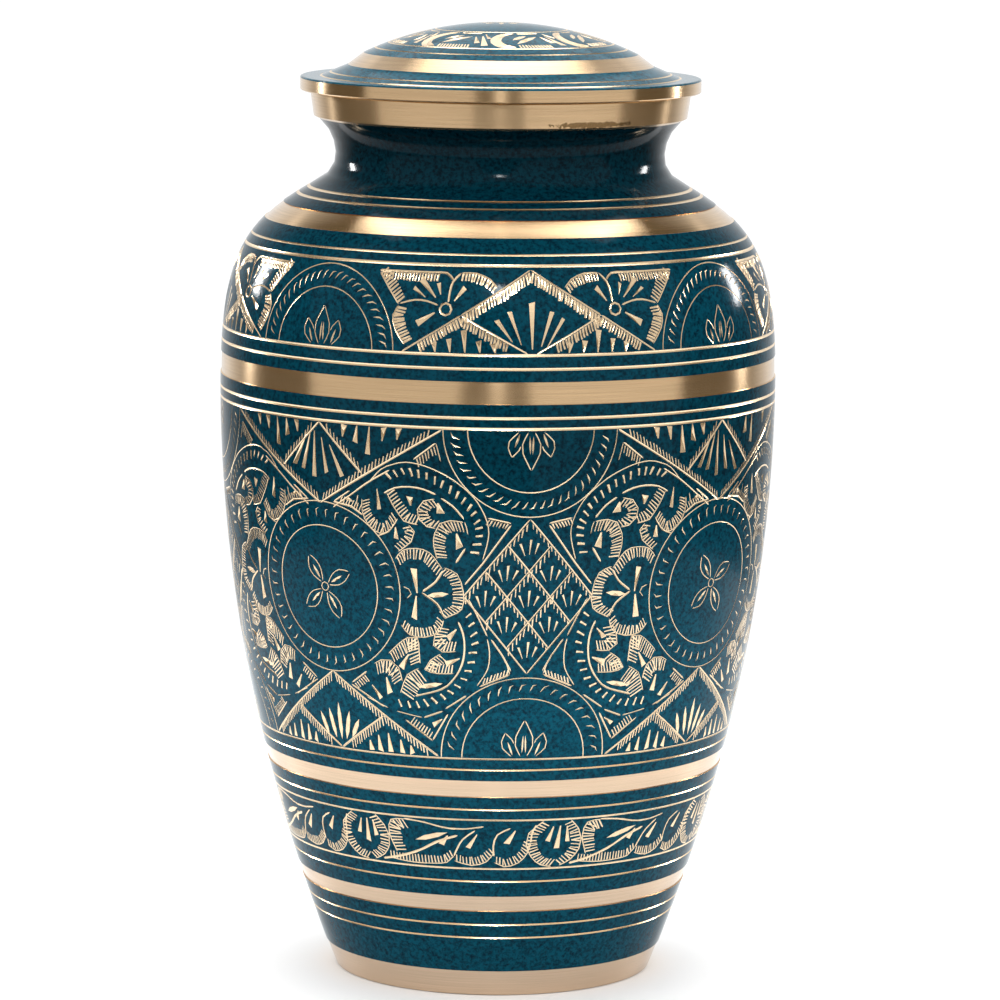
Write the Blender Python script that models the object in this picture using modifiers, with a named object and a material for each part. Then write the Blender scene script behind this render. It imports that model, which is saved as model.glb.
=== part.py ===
"""Brass cremation urn with a lift-off lid, its bands turned and its pattern cut through enamel.

Units are metres and +Z is up. The origin is the centre of the base, on the surface it stands on.
Azimuths are measured from the front, the -Y side, and grow towards +X.
"""

import math

import bmesh
import bpy
from mathutils import Vector

MM = 0.001

# Outline of the body
FOOT_RADIUS = 45.1 * MM
BELLY_RADIUS = 78.5 * MM
NECK_RADIUS = 46.3 * MM
SHOULDER_LEAN = math.radians(60.0)
SHOULDER_FULLNESS_AT_BELLY = 0.70
SHOULDER_FULLNESS_AT_NECK = 0.77
NECK_ARC_BELOW = 7.7 * MM
NECK_ARC_ABOVE = 13.5 * MM
FLARE_LEAN = math.radians(49.7)

# Rim
RIM_STEP = 1.45 * MM
RIM_STEP_RISE = 0.7 * MM
RIM_HEIGHT = 6.8 * MM
RIM_TAPER = 0.95 * MM

# Walls and base
WALL = 2.2 * MM
BASE_THICKNESS = 3.0 * MM
BASE_RECESS = 2.5 * MM
FOOT_RING_WIDTH = 7.0 * MM
MOUTH_STEP = 2.4 * MM
MOUTH_CHAMFER = 0.6 * MM

# Turned bands, register lines and the spaces between them, from the base up to the neck
FOOT_BAND_WIDTH = 7.4 * MM
FOOT_BAND_TO_LOW_BAND = 18.4 * MM
LOW_BAND_WIDTH = 4.6 * MM
LOW_BAND_TO_SKIRT_BAND = 29.5 * MM
SKIRT_BAND_WIDTH = 4.9 * MM
SKIRT_BAND_TO_MAIN_LINE = 6.4 * MM
MAIN_REGISTER_HEIGHT = 92.3 * MM
MAIN_LINE_TO_BELLY_BAND = 6.6 * MM
BELLY_BAND_ABOVE_BELLY = 2.1 * MM
BELLY_BAND_WIDTH = 6.1 * MM
BELLY_BAND_TO_SHOULDER_LINE = 7.2 * MM
SHOULDER_REGISTER_HEIGHT = 23.5 * MM
SHOULDER_LINE_TO_NECK_BAND = 6.9 * MM
NECK_BAND_WIDTH = 4.3 * MM
NECK_BAND_TO_NECK = 13.3 * MM
BAND_DEPTH = 0.3 * MM
LINE_WIDTH = 0.9 * MM
LINE_DEPTH = 0.4 * MM

# Carved pattern, repeated round the body
REPEATS = 4
LATTICE_AZIMUTH = math.radians(6.8)
GROOVE_TOOL_RADIUS = 0.9 * MM
RING_DEPTH = 0.56 * MM
RISING_LINE_DEPTH = 0.63 * MM
FALLING_LINE_DEPTH = 0.49 * MM
GROOVE_OVERRUN = 0.25 * MM
MEDALLION_OUTER_RADIUS = 23.8 * MM
MEDALLION_INNER_RADIUS = 17.1 * MM
HALF_MEDALLION_RADIUS = 23.4 * MM
LATTICE_HALF_WIDTH = 17.7 * MM
LATTICE_HALF_HEIGHT = 21.6 * MM
LATTICE_CELLS = 3
HANGING_CHEVRON_HALF_WIDTH = 37.0 * MM
HANGING_CHEVRON_HEIGHT = 21.8 * MM
STANDING_CHEVRON_HALF_WIDTH = 27.8 * MM
STANDING_CHEVRON_HEIGHT = 22.0 * MM
SHOULDER_CHEVRON_HALF_WIDTH = 36.4 * MM
SHOULDER_CARVING_CLEARANCE = 1.25 * MM

# Lid
LID_GAP = 0.3 * MM
LID_OVERHANG = 2.9 * MM
LID_FLANGE_HEIGHT = 3.9 * MM
LID_FLANGE_CORNER = 0.5 * MM
LID_FLANGE_WIDTH = 5.8 * MM
LID_SLOPE_WIDTH = 7.6 * MM
LID_SLOPE_RISE = 3.2 * MM
LID_BAND_WIDTH = 4.45 * MM
LID_BAND_RISE = 3.35 * MM
LID_DOME_RISE = 8.65 * MM
LID_WALL = 2.0 * MM
PLUG_CLEARANCE = 0.5 * MM
PLUG_WALL = 1.8 * MM
PLUG_DEPTH = 8.0 * MM

# Fineness of the facets
TURN_STEPS = 32
OUTLINE_SAMPLES = 60
OUTER_TOLERANCE = 0.25 * MM
INNER_TOLERANCE = 0.7 * MM
LARGE_RING_STEPS = 14
SMALL_RING_STEPS = 10
LINE_PIECE_ANGLE = math.radians(11.25)
MERGE_DISTANCE = 0.00001

ENAMEL_COLOUR = (0.004, 0.075, 0.125, 1.0)
LID_ENAMEL_COLOUR = (0.005, 0.085, 0.135, 1.0)


# Heights that follow from the bands and spaces
LOW_BAND_HEIGHT = FOOT_BAND_WIDTH + FOOT_BAND_TO_LOW_BAND
SKIRT_BAND_HEIGHT = LOW_BAND_HEIGHT + LOW_BAND_WIDTH + LOW_BAND_TO_SKIRT_BAND
MAIN_LOW = SKIRT_BAND_HEIGHT + SKIRT_BAND_WIDTH + SKIRT_BAND_TO_MAIN_LINE
MAIN_HIGH = MAIN_LOW + MAIN_REGISTER_HEIGHT
BELLY_BAND_HEIGHT = MAIN_HIGH + MAIN_LINE_TO_BELLY_BAND
BELLY_HEIGHT = BELLY_BAND_HEIGHT - BELLY_BAND_ABOVE_BELLY
SHOULDER_LOW = BELLY_BAND_HEIGHT + BELLY_BAND_WIDTH + BELLY_BAND_TO_SHOULDER_LINE
SHOULDER_HIGH = SHOULDER_LOW + SHOULDER_REGISTER_HEIGHT
NECK_BAND_HEIGHT = SHOULDER_HIGH + SHOULDER_LINE_TO_NECK_BAND
NECK_HEIGHT = NECK_BAND_HEIGHT + NECK_BAND_WIDTH + NECK_BAND_TO_NECK


def fractions(count):
    """Evenly spaced values from 0 to 1."""
    return [index / count for index in range(count + 1)]


def bezier_point(t, start, start_handle, end_handle, end):
    """Point of a cubic curve as (radius, height)."""
    s = 1.0 - t
    weights = (s * s * s, 3.0 * s * s * t, 3.0 * s * t * t, t * t * t)
    corners = (start, start_handle, end_handle, end)
    return tuple(sum(w * corner[axis] for w, corner in zip(weights, corners)) for axis in (0, 1))


def body_outline():
    """Outer outline of the body from the base up to the rim, as dense (radius, height) points."""
    spread = BELLY_RADIUS - FOOT_RADIUS
    side = [
        (BELLY_RADIUS - spread * (1.0 - t) ** 2, BELLY_HEIGHT * t)
        for t in fractions(OUTLINE_SAMPLES)
    ]

    neck_foot = (
        NECK_RADIUS + NECK_ARC_BELOW * (1.0 - math.cos(SHOULDER_LEAN)),
        NECK_HEIGHT - NECK_ARC_BELOW * math.sin(SHOULDER_LEAN),
    )
    rise = neck_foot[1] - BELLY_HEIGHT
    reach = SHOULDER_FULLNESS_AT_NECK * (BELLY_RADIUS - neck_foot[0])
    belly_handle = (BELLY_RADIUS, BELLY_HEIGHT + SHOULDER_FULLNESS_AT_BELLY * rise)
    neck_handle = (
        neck_foot[0] + reach * math.sin(SHOULDER_LEAN),
        neck_foot[1] - reach * math.cos(SHOULDER_LEAN),
    )
    shoulder = [
        bezier_point(t, side[-1], belly_handle, neck_handle, neck_foot)
        for t in fractions(OUTLINE_SAMPLES)
    ]

    below = [
        (
            NECK_RADIUS + NECK_ARC_BELOW * (1.0 - math.cos(SHOULDER_LEAN * (1.0 - t))),
            NECK_HEIGHT - NECK_ARC_BELOW * math.sin(SHOULDER_LEAN * (1.0 - t)),
        )
        for t in fractions(OUTLINE_SAMPLES)
    ]
    above = [
        (
            NECK_RADIUS + NECK_ARC_ABOVE * (1.0 - math.cos(FLARE_LEAN * t)),
            NECK_HEIGHT + NECK_ARC_ABOVE * math.sin(FLARE_LEAN * t),
        )
        for t in fractions(OUTLINE_SAMPLES)
    ]
    return side + shoulder[1:] + below[1:] + above[1:]


OUTLINE = body_outline()
FLARE_TOP_RADIUS, FLARE_TOP_HEIGHT = OUTLINE[-1]
RIM_LOW_RADIUS = FLARE_TOP_RADIUS + RIM_STEP
RIM_LOW_HEIGHT = FLARE_TOP_HEIGHT + RIM_STEP_RISE
RIM_TOP_RADIUS = RIM_LOW_RADIUS + RIM_TAPER
BODY_HEIGHT = RIM_LOW_HEIGHT + RIM_HEIGHT
MOUTH_RADIUS = NECK_RADIUS - WALL + MOUTH_STEP


def radius_at(height):
    """Radius of the bare outline at a height."""
    for (low_radius, low), (high_radius, high) in zip(OUTLINE, OUTLINE[1:]):
        if height <= high:
            share = (height - low) / (high - low)
            return low_radius + share * (high_radius - low_radius)
    return OUTLINE[-1][0]


def simplified(points, tolerance):
    """Fewest of the given points whose straight runs stay within the tolerance of the rest."""
    if len(points) < 3:
        return list(points)
    start = Vector(points[0])
    run = Vector(points[-1]) - start
    offsets = [abs(run.cross(Vector(point) - start)) / run.length for point in points[1:-1]]
    farthest = max(range(len(offsets)), key=offsets.__getitem__)
    if offsets[farthest] < tolerance:
        return [points[0], points[-1]]
    split = farthest + 1
    return simplified(points[: split + 1], tolerance)[:-1] + simplified(points[split:], tolerance)


def outline_between(low, high):
    """Outline from one height to another, as few (radius, height) points as its shape needs."""
    inside = [point for point in OUTLINE if low < point[1] < high]
    points = [(radius_at(low), low)] + inside + [(radius_at(high), high)]
    return simplified(points, OUTER_TOLERANCE)


def turned_bands():
    """Lower edge, upper edge and depth of each band turned into the body."""
    lows_and_widths = (
        (0.0, FOOT_BAND_WIDTH),
        (LOW_BAND_HEIGHT, LOW_BAND_WIDTH),
        (SKIRT_BAND_HEIGHT, SKIRT_BAND_WIDTH),
        (BELLY_BAND_HEIGHT, BELLY_BAND_WIDTH),
        (NECK_BAND_HEIGHT, NECK_BAND_WIDTH),
    )
    return [(low, low + width, BAND_DEPTH) for low, width in lows_and_widths]


def turned_lines():
    """Lower edge, upper edge and depth of each border line, which is a V in section."""
    heights = (MAIN_LOW, MAIN_HIGH, SHOULDER_LOW, SHOULDER_HIGH)
    return [(height - LINE_WIDTH / 2, height + LINE_WIDTH / 2, LINE_DEPTH) for height in heights]


def body_side():
    """Outer side of the body with its bands and lines, from the base up to the rim."""
    bands = turned_bands()
    lines = turned_lines()
    edges = {0.0, FLARE_TOP_HEIGHT}
    for low, high, _ in bands + lines:
        edges.update((low, high))
    edges = sorted(edges)
    points = []
    for low, high in zip(edges, edges[1:]):
        middle = (low + high) / 2
        depth = max([d for b_low, b_high, d in bands if b_low < middle < b_high], default=0.0)
        cut = max([d for l_low, l_high, d in lines if l_low < middle < l_high], default=0.0)
        stretch = [(radius - depth, height) for radius, height in outline_between(low, high)]
        if cut:
            stretch = [stretch[0], (radius_at(middle) - depth - cut, middle), stretch[-1]]
        points += stretch if stretch[0] not in points else stretch[1:]
    return points


def moved_inwards(points, distance):
    """An outline that runs upwards, moved to the inside by a distance, with mitred corners."""
    normals = []
    for (r0, z0), (r1, z1) in zip(points, points[1:]):
        normals.append(Vector((z0 - z1, r1 - r0)).normalized())
    before = [normals[0]] + normals
    after = normals + [normals[-1]]
    moved = []
    for point, low_normal, high_normal in zip(points, before, after):
        direction = (low_normal + high_normal).normalized()
        moved.append(tuple(Vector(point) + direction * distance / direction.dot(high_normal)))
    return moved


def inner_side():
    """Inner side of the wall from the floor up to the foot of the mouth."""
    floor = BASE_RECESS + BASE_THICKNESS
    wall = [point for point in moved_inwards(OUTLINE, WALL) if point[1] > floor]
    wall[0] = (wall[0][0], floor)
    throat = [point for point in wall if point[1] < NECK_HEIGHT or point[0] < MOUTH_RADIUS]
    throat[-1] = (MOUTH_RADIUS, throat[-1][1])
    return simplified(throat, INNER_TOLERANCE)


def body_profile():
    """Half section of the body from its floor, over the rim and down to the underside."""
    inside = [(0.0, BASE_RECESS + BASE_THICKNESS)] + inner_side()
    rim = [
        (MOUTH_RADIUS, BODY_HEIGHT - MOUTH_CHAMFER),
        (MOUTH_RADIUS + MOUTH_CHAMFER, BODY_HEIGHT),
        (RIM_TOP_RADIUS, BODY_HEIGHT),
        (RIM_LOW_RADIUS, RIM_LOW_HEIGHT),
    ]
    outside = body_side()[::-1]
    ring_inside = FOOT_RADIUS - BAND_DEPTH - FOOT_RING_WIDTH
    underside = [(ring_inside, 0.0), (ring_inside - BASE_RECESS, BASE_RECESS), (0.0, BASE_RECESS)]
    return inside + rim + outside + underside


def lid_cover():
    """Upper surface of the lid above its flange, from the foot of its slope up to its crown."""
    flange_top = BODY_HEIGHT + LID_GAP + LID_FLANGE_HEIGHT
    slope_radius = RIM_TOP_RADIUS + LID_OVERHANG - LID_FLANGE_WIDTH
    band_radius = slope_radius - LID_SLOPE_WIDTH
    dome_radius = band_radius - LID_BAND_WIDTH
    crown = flange_top + LID_SLOPE_RISE + LID_BAND_RISE + LID_DOME_RISE
    sphere = (dome_radius**2 + LID_DOME_RISE**2) / (2 * LID_DOME_RISE)
    sweep = math.asin(dome_radius / sphere)
    dome = [
        (sphere * math.sin(sweep * (1.0 - t)), crown - sphere * (1.0 - math.cos(sweep * (1.0 - t))))
        for t in fractions(OUTLINE_SAMPLES)
    ]
    return [(slope_radius, flange_top), (band_radius, flange_top + LID_SLOPE_RISE)] + dome


def lid_profile():
    """Half section of the lid from its crown, round the flange and the plug, to its hollow."""
    cover = lid_cover()
    crown = cover[-1][1]
    flange_radius = RIM_TOP_RADIUS + LID_OVERHANG
    flange_bottom = BODY_HEIGHT + LID_GAP
    flange_top = flange_bottom + LID_FLANGE_HEIGHT
    plug_radius = MOUTH_RADIUS - PLUG_CLEARANCE
    plug_bottom = flange_bottom - PLUG_DEPTH
    hollow_radius = plug_radius - PLUG_WALL

    dome = simplified(cover[2:], OUTER_TOLERANCE)
    outside = dome[::-1] + [
        cover[1],
        cover[0],
        (flange_radius - LID_FLANGE_CORNER, flange_top),
        (flange_radius, flange_top - LID_FLANGE_CORNER),
        (flange_radius, flange_bottom),
    ]
    plug = [
        (plug_radius, flange_bottom),
        (plug_radius, plug_bottom),
        (hollow_radius, plug_bottom),
    ]
    hollow = [point for point in moved_inwards(cover, LID_WALL) if 0.0 < point[0] < hollow_radius]
    hollow[0] = (hollow_radius, hollow[0][1])
    hollow[-1] = (0.0, crown - LID_WALL)
    return outside + plug + simplified(hollow, OUTER_TOLERANCE)


def enamel(name, colour):
    """Glossy enamel over brass."""
    material = bpy.data.materials.new(name)
    material.use_nodes = True
    shader = material.node_tree.nodes["Principled BSDF"]
    shader.inputs["Base Color"].default_value = colour
    shader.inputs["Roughness"].default_value = 0.18
    shader.inputs["Metallic"].default_value = 0.0
    return material


def turned_object(name, profile, material, collection):
    """Solid of revolution about Z from a half section that runs down its outer side."""
    mesh = bpy.data.meshes.new(name)
    vertices = [(radius, 0.0, height) for radius, height in profile]
    edges = [(index, index + 1) for index in range(len(profile) - 1)]
    mesh.from_pydata(vertices, edges, [])
    mesh.materials.append(material)
    turned = bpy.data.objects.new(name, mesh)
    collection.objects.link(turned)
    screw = turned.modifiers.new("turned", "SCREW")
    screw.axis = "Z"
    screw.angle = math.tau
    screw.steps = TURN_STEPS
    screw.render_steps = TURN_STEPS
    screw.use_smooth_shade = True
    screw.use_merge_vertices = True
    screw.merge_threshold = MERGE_DISTANCE
    return turned


def flat_ring(radius, steps):
    """Diamond-section ring for the flat sheet, sunk into it by the depth of a ring."""
    bpy.ops.mesh.primitive_torus_add(
        major_segments=steps,
        minor_segments=4,
        major_radius=radius,
        minor_radius=GROOVE_TOOL_RADIUS,
        location=(0.0, 0.0, GROOVE_TOOL_RADIUS - RING_DEPTH),
    )
    torus = bpy.context.object
    ring = bmesh.new()
    ring.from_mesh(torus.data)
    ring.transform(torus.matrix_world)
    bpy.data.objects.remove(torus, do_unlink=True)
    return ring


def flat_half_ring(radius, up):
    """Half of a ring, standing on its border line if up is 1 and hanging from it if -1."""
    ring = flat_ring(radius, LARGE_RING_STEPS)
    bmesh.ops.bisect_plane(
        ring,
        geom=ring.verts[:] + ring.edges[:] + ring.faces[:],
        plane_co=(0.0, -up * GROOVE_OVERRUN, 0.0),
        plane_no=(0.0, up, 0.0),
        clear_inner=True,
    )
    open_edges = [edge for edge in ring.edges if edge.is_boundary]
    bmesh.ops.edgeloop_fill(ring, edges=open_edges)
    bmesh.ops.recalc_face_normals(ring, faces=ring.faces[:])
    return ring


def flat_line(start, end):
    """Diamond-section bar for the flat sheet between two points, in pieces so that it can bend.

    Lines that rise to the right are sunk deeper than lines that fall, so that they cross cleanly.
    """
    run = Vector((end[0] - start[0], end[1] - start[1], 0.0))
    depth = RISING_LINE_DEPTH if run.x * run.y > 0.0 else FALLING_LINE_DEPTH
    middle = Vector((start[0], start[1], GROOVE_TOOL_RADIUS - depth)) + run / 2
    length = run.length + 2 * GROOVE_OVERRUN
    bar = bmesh.new()
    bmesh.ops.create_cone(
        bar,
        cap_ends=True,
        segments=4,
        radius1=GROOVE_TOOL_RADIUS,
        radius2=GROOVE_TOOL_RADIUS,
        depth=length,
    )
    pieces = math.ceil(abs(run.x) / BELLY_RADIUS / LINE_PIECE_ANGLE)
    long_edges = [edge for edge in bar.edges if edge.calc_length() > length / 2]
    bmesh.ops.subdivide_edges(bar, edges=long_edges, cuts=pieces - 1)
    turn = Vector((0.0, 0.0, 1.0)).rotation_difference(run)
    bmesh.ops.rotate(bar, verts=bar.verts[:], matrix=turn.to_matrix())
    bmesh.ops.translate(bar, verts=bar.verts[:], vec=middle)
    return bar


def medallion():
    """Two rings, one inside the other."""
    return [
        flat_ring(MEDALLION_OUTER_RADIUS, LARGE_RING_STEPS),
        flat_ring(MEDALLION_INNER_RADIUS, SMALL_RING_STEPS),
    ]


def chevron(half_width, height):
    """Two lines from the ends of a border line to a point above it, or below it if height is negative."""
    tip = (0.0, height)
    return [flat_line((-half_width, 0.0), tip), flat_line((half_width, 0.0), tip)]


def lattice():
    """Diamond of crossed lines, with as many cells along each side."""
    left = Vector((-LATTICE_HALF_WIDTH, 0.0))
    high = Vector((0.0, LATTICE_HALF_HEIGHT))
    bars = []
    for share in fractions(LATTICE_CELLS):
        bars.append(flat_line(left.lerp(-high, share), high.lerp(-left, share)))
        bars.append(flat_line(left.lerp(high, share), (-high).lerp(-left, share)))
    return bars


def wrapped(shapes, azimuth, height):
    """The shapes laid from the flat sheet on the body, their origin at an azimuth and a height."""
    reference = radius_at(height)
    for shape in shapes:
        for vertex in shape.verts:
            across, up, out = vertex.co
            angle = azimuth + across / reference
            radius = radius_at(height + up) + out
            vertex.co = (radius * math.sin(angle), -radius * math.cos(angle), height + up)
    return shapes


def carved_shapes(lattice_azimuth):
    """Every carved line of one repeat of the two pattern registers."""
    medallion_azimuth = lattice_azimuth + math.pi / REPEATS
    middle = (MAIN_LOW + MAIN_HIGH) / 2
    hanging = flat_half_ring(HALF_MEDALLION_RADIUS, -1)
    standing = flat_half_ring(HALF_MEDALLION_RADIUS, 1)
    shoulder_reach = SHOULDER_REGISTER_HEIGHT - SHOULDER_CARVING_CLEARANCE
    shoulder = flat_half_ring(shoulder_reach, 1)
    hanging_chevron = chevron(HANGING_CHEVRON_HALF_WIDTH, -HANGING_CHEVRON_HEIGHT)
    standing_chevron = chevron(STANDING_CHEVRON_HALF_WIDTH, STANDING_CHEVRON_HEIGHT)
    shoulder_chevron = chevron(SHOULDER_CHEVRON_HALF_WIDTH, shoulder_reach)
    return (
        wrapped(lattice(), lattice_azimuth, middle)
        + wrapped(medallion(), medallion_azimuth, middle)
        + wrapped([hanging], lattice_azimuth, MAIN_HIGH)
        + wrapped([standing], lattice_azimuth, MAIN_LOW)
        + wrapped(hanging_chevron, medallion_azimuth, MAIN_HIGH)
        + wrapped(standing_chevron, medallion_azimuth, MAIN_LOW)
        + wrapped([shoulder], medallion_azimuth, SHOULDER_LOW)
        + wrapped(shoulder_chevron, lattice_azimuth, SHOULDER_LOW)
    )


def carved_cutter(collection):
    """One cutter with every carved line round the body."""
    cutter = bmesh.new()
    for index in range(REPEATS):
        for shape in carved_shapes(LATTICE_AZIMUTH + index * math.tau / REPEATS):
            mesh = bpy.data.meshes.new("wrapped")
            shape.to_mesh(mesh)
            shape.free()
            cutter.from_mesh(mesh)
            bpy.data.meshes.remove(mesh)
    mesh = bpy.data.meshes.new("carved_lines")
    cutter.to_mesh(mesh)
    cutter.free()
    carved = bpy.data.objects.new("carved_lines", mesh)
    carved.hide_render = True
    carved.display_type = "WIRE"
    collection.objects.link(carved)
    return carved


def new_collection(name):
    """Collection linked to the scene."""
    collection = bpy.data.collections.new(name)
    bpy.context.scene.collection.children.link(collection)
    return collection


def main():
    for item in list(bpy.data.objects):
        bpy.data.objects.remove(item, do_unlink=True)
    urn = new_collection("cremation_urn")
    cutters = new_collection("cutters")

    body = turned_object("urn_body", body_profile(), enamel("teal_enamel", ENAMEL_COLOUR), urn)
    turned_object("lid", lid_profile(), enamel("lid_enamel", LID_ENAMEL_COLOUR), urn)

    carving = body.modifiers.new("carving", "BOOLEAN")
    carving.operation = "DIFFERENCE"
    carving.solver = "EXACT"
    carving.use_self = True
    carving.object = carved_cutter(cutters)


main()
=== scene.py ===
"""Looks of the cremation urn: teal enamel over brass, turned and engraved through to the metal.

Sizes are in millimetres until a mesh is made. Azimuths are in degrees from the front, the -Y side,
and grow towards +X. Each engraved register is drawn on a flat sheet, cut up together with its
strokes, and laid on the surface, so that every stroke is a real cut.
"""

import math
import random
from collections import namedtuple

import bmesh
import bpy
import numpy as np
from mathutils import Matrix, Vector
from mathutils.geometry import delaunay_2d_cdt


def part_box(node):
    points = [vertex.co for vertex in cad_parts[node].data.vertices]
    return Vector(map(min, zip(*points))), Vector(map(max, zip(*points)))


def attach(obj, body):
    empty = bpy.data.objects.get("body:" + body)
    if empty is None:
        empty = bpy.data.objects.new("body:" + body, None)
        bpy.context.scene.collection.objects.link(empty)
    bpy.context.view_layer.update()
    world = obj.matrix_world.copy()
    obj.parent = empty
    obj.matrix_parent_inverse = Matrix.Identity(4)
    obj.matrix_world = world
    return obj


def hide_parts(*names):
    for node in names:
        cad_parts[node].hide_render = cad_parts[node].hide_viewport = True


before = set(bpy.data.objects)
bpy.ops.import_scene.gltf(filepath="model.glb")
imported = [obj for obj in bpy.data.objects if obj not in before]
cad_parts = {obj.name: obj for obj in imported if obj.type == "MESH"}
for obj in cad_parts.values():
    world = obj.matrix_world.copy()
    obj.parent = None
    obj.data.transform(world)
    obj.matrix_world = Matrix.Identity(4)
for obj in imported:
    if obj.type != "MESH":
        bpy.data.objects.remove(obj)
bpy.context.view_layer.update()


class Register(namedtuple("Register", "low high borders scale")):
    """An engraved sheet: its lower and upper edge, its border lines and its millimetres a degree."""

    def at(self, *points):
        """Sheet points from (azimuth, height) pairs."""
        return [Vector((azimuth * self.scale, height)) for azimuth, height in points]


# A stroke: half widths along its spine, or the one width of a facet whose corners the spine holds
Cut = namedtuple("Cut", "spine half_widths")

MM = 0.001
hand = random.Random(11)

# Outline of the body, as the solids have it
FOOT_RADIUS = 45.1
BELLY_RADIUS = 78.5
BELLY_HEIGHT = 168.0
NECK_RADIUS = 46.3
NECK_HEIGHT = 231.4
SHOULDER_LEAN = math.radians(60.0)
SHOULDER_FULLNESS_AT_BELLY = 0.70
SHOULDER_FULLNESS_AT_NECK = 0.77
NECK_ARC_BELOW = 7.7
NECK_ARC_ABOVE = 13.5
FLARE_LEAN = math.radians(49.7)
RIM_STEP = 1.45
RIM_STEP_RISE = 0.7
RIM_TAPER = 0.95
RIM_EDGE = 0.25
RIM_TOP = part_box("urn_body")[1][2] / MM
MOUTH_RADIUS = 46.5
MOUTH_CHAMFER = 0.6
WALL = 2.2
FLOOR_TOP = 5.5
BASE_RECESS = 2.5
FOOT_RING_INSIDE = 37.8

# Lid
LID_RADIUS = 56.37
LID_BOTTOM = RIM_TOP + 0.3
LID_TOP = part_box("lid")[1][2] / MM
FLANGE_TOP = LID_BOTTOM + 3.9
FLANGE_CORNER = 0.5
SLOPE_FOOT_RADIUS = 50.57
BAND_FOOT = (42.97, 256.6)
DOME_FOOT = (38.52, 259.95)
LID_WALL = 2.0
PLUG_RADIUS = 46.0
PLUG_INSIDE_RADIUS = 44.2
PLUG_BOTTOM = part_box("lid")[0][2] / MM
LID_LINE_WIDTH = 0.55
LID_LINES = (50.5, 47.9, 35.3)
LID_SHEET_RADIUS = 32.6
LID_SHEET_RINGS = 10
LID_EDGE = 0.3
EDGE_LINE_DEPTH = 0.12
LID_REPEATS = 8

# Turned bands and lines on the body
BANDS = ((0.0, 7.4), (25.8, 30.4), (59.9, 64.8), (170.1, 176.2), (213.8, 218.1))
BAND_DEPTH = 0.3
LINES = (166.41, 179.66)
THIN_LINES = (17.79, 21.78, 34.95, 56.33, 67.98, 209.61, 220.72, 222.54)
LINE_WIDTH = 0.75
THIN_LINE_WIDTH = 0.5
LINE_DEPTH = 0.2

# Registers and the figures in them
LEAVES = Register(36.9, 54.9, (38.81, 53.3), 1.04)
MAIN = Register(69.6, 164.9, (71.2, 163.5), 1.316)
SHOULDER = Register(181.4, 208.1, (183.4, 206.9), 1.325)
REPEATS = 4
LATTICE_AZIMUTH = 6.8
MEDALLION_AZIMUTH = LATTICE_AZIMUTH - 180.0 / REPEATS
LEAF_GROUPS = 7
MEDALLION_HEIGHT = 117.35
LATTICE_REACH = 17.7
LATTICE_RISE = 21.6
LATTICE_CELLS = 3
LOTUS_SCALE = 10.6 / 10.4

# Fineness of the meshes
TURN_STEPS = 144
LID_TURN_STEPS = 96
PROFILE_STEP = 3.2
INSIDE_STRIDE = 5
CURVE_STEP = 1.7
SEAM_MARGIN = 9.0
BORDER_INSET = 0.3
SPLIT_EPSILON = 0.0002
WELD_DISTANCE = 0.000002
LOOKUP_CELL = 2.5
SHARP_ANGLE = math.radians(16.0)

# Graver
LINE_CUT = 0.56
FINE_CUT = 0.28
TICK_CUT = 0.38
THIN_CUT = 0.42
BORDER_CUT = 0.45
UNSTEADY_WIDTH = (0.88, 1.12)
CUT_SLOPE = 0.35
DEEPEST_CUT = 0.3
TICK_PITCH = 0.92
CHEVRON_PITCH = 0.88
SHOULDER_PITCH = 0.86
ROPE_PITCH = 2.6
LATTICE_PITCH = 0.95
LEAF_PITCH = 0.95
TICK_GAP = 0.07
TICK_TIP_SHARE = 0.75
HATCHING_SHARE = 1.2
HATCHING_EVENNESS = 0.45
ARC_STEP = 2.2
STRAIGHT_STEP = 5.0

# Places of the materials in a piece
ENAMEL, BAND, CUT_BRASS, INSIDE = range(4)

# Looks: a painted shade that darkens the enamel at some heights, the tarnish on the rim, and the studio's
# colours
TOP = 270.0
BODY_PAINTED_SHADES = (
    (0.0, 0.78), (60.0, 0.85), (85.0, 1.0), (105.0, 0.84), (125.0, 0.7), (155.0, 0.42), (185.0, 0.58),
    (200.0, 0.62), (212.0, 0.54), (225.0, 0.36), (240.0, 0.13),
)
LID_SHADES = ((0.0, 1.0), (TOP, 1.0))
RIM_STAIN = (0.0247, -0.0462, 0.2432)
RIM_STAIN_REACH = (0.024, 0.04, 0.0018)
RIM_STAIN_COLOUR = (0.24, 0.15, 0.07, 1.0)
ROOM_COLOUR = (0.14, 0.115, 0.075)
BACKDROP_COLOUR = (0.95, 0.96, 0.97)


# Outline


def bezier_point(t, start, start_handle, end_handle, end):
    """Point of a cubic curve as (radius, height)."""
    s = 1.0 - t
    weights = (s * s * s, 3.0 * s * s * t, 3.0 * s * t * t, t * t * t)
    corners = (start, start_handle, end_handle, end)
    return tuple(sum(w * corner[axis] for w, corner in zip(weights, corners)) for axis in (0, 1))


def neck_point(arc_radius, lean):
    """Point of the neck's round waist, below its middle where the radius is negative."""
    return (NECK_RADIUS + abs(arc_radius) * (1.0 - math.cos(lean)), NECK_HEIGHT + arc_radius * math.sin(lean))


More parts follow.
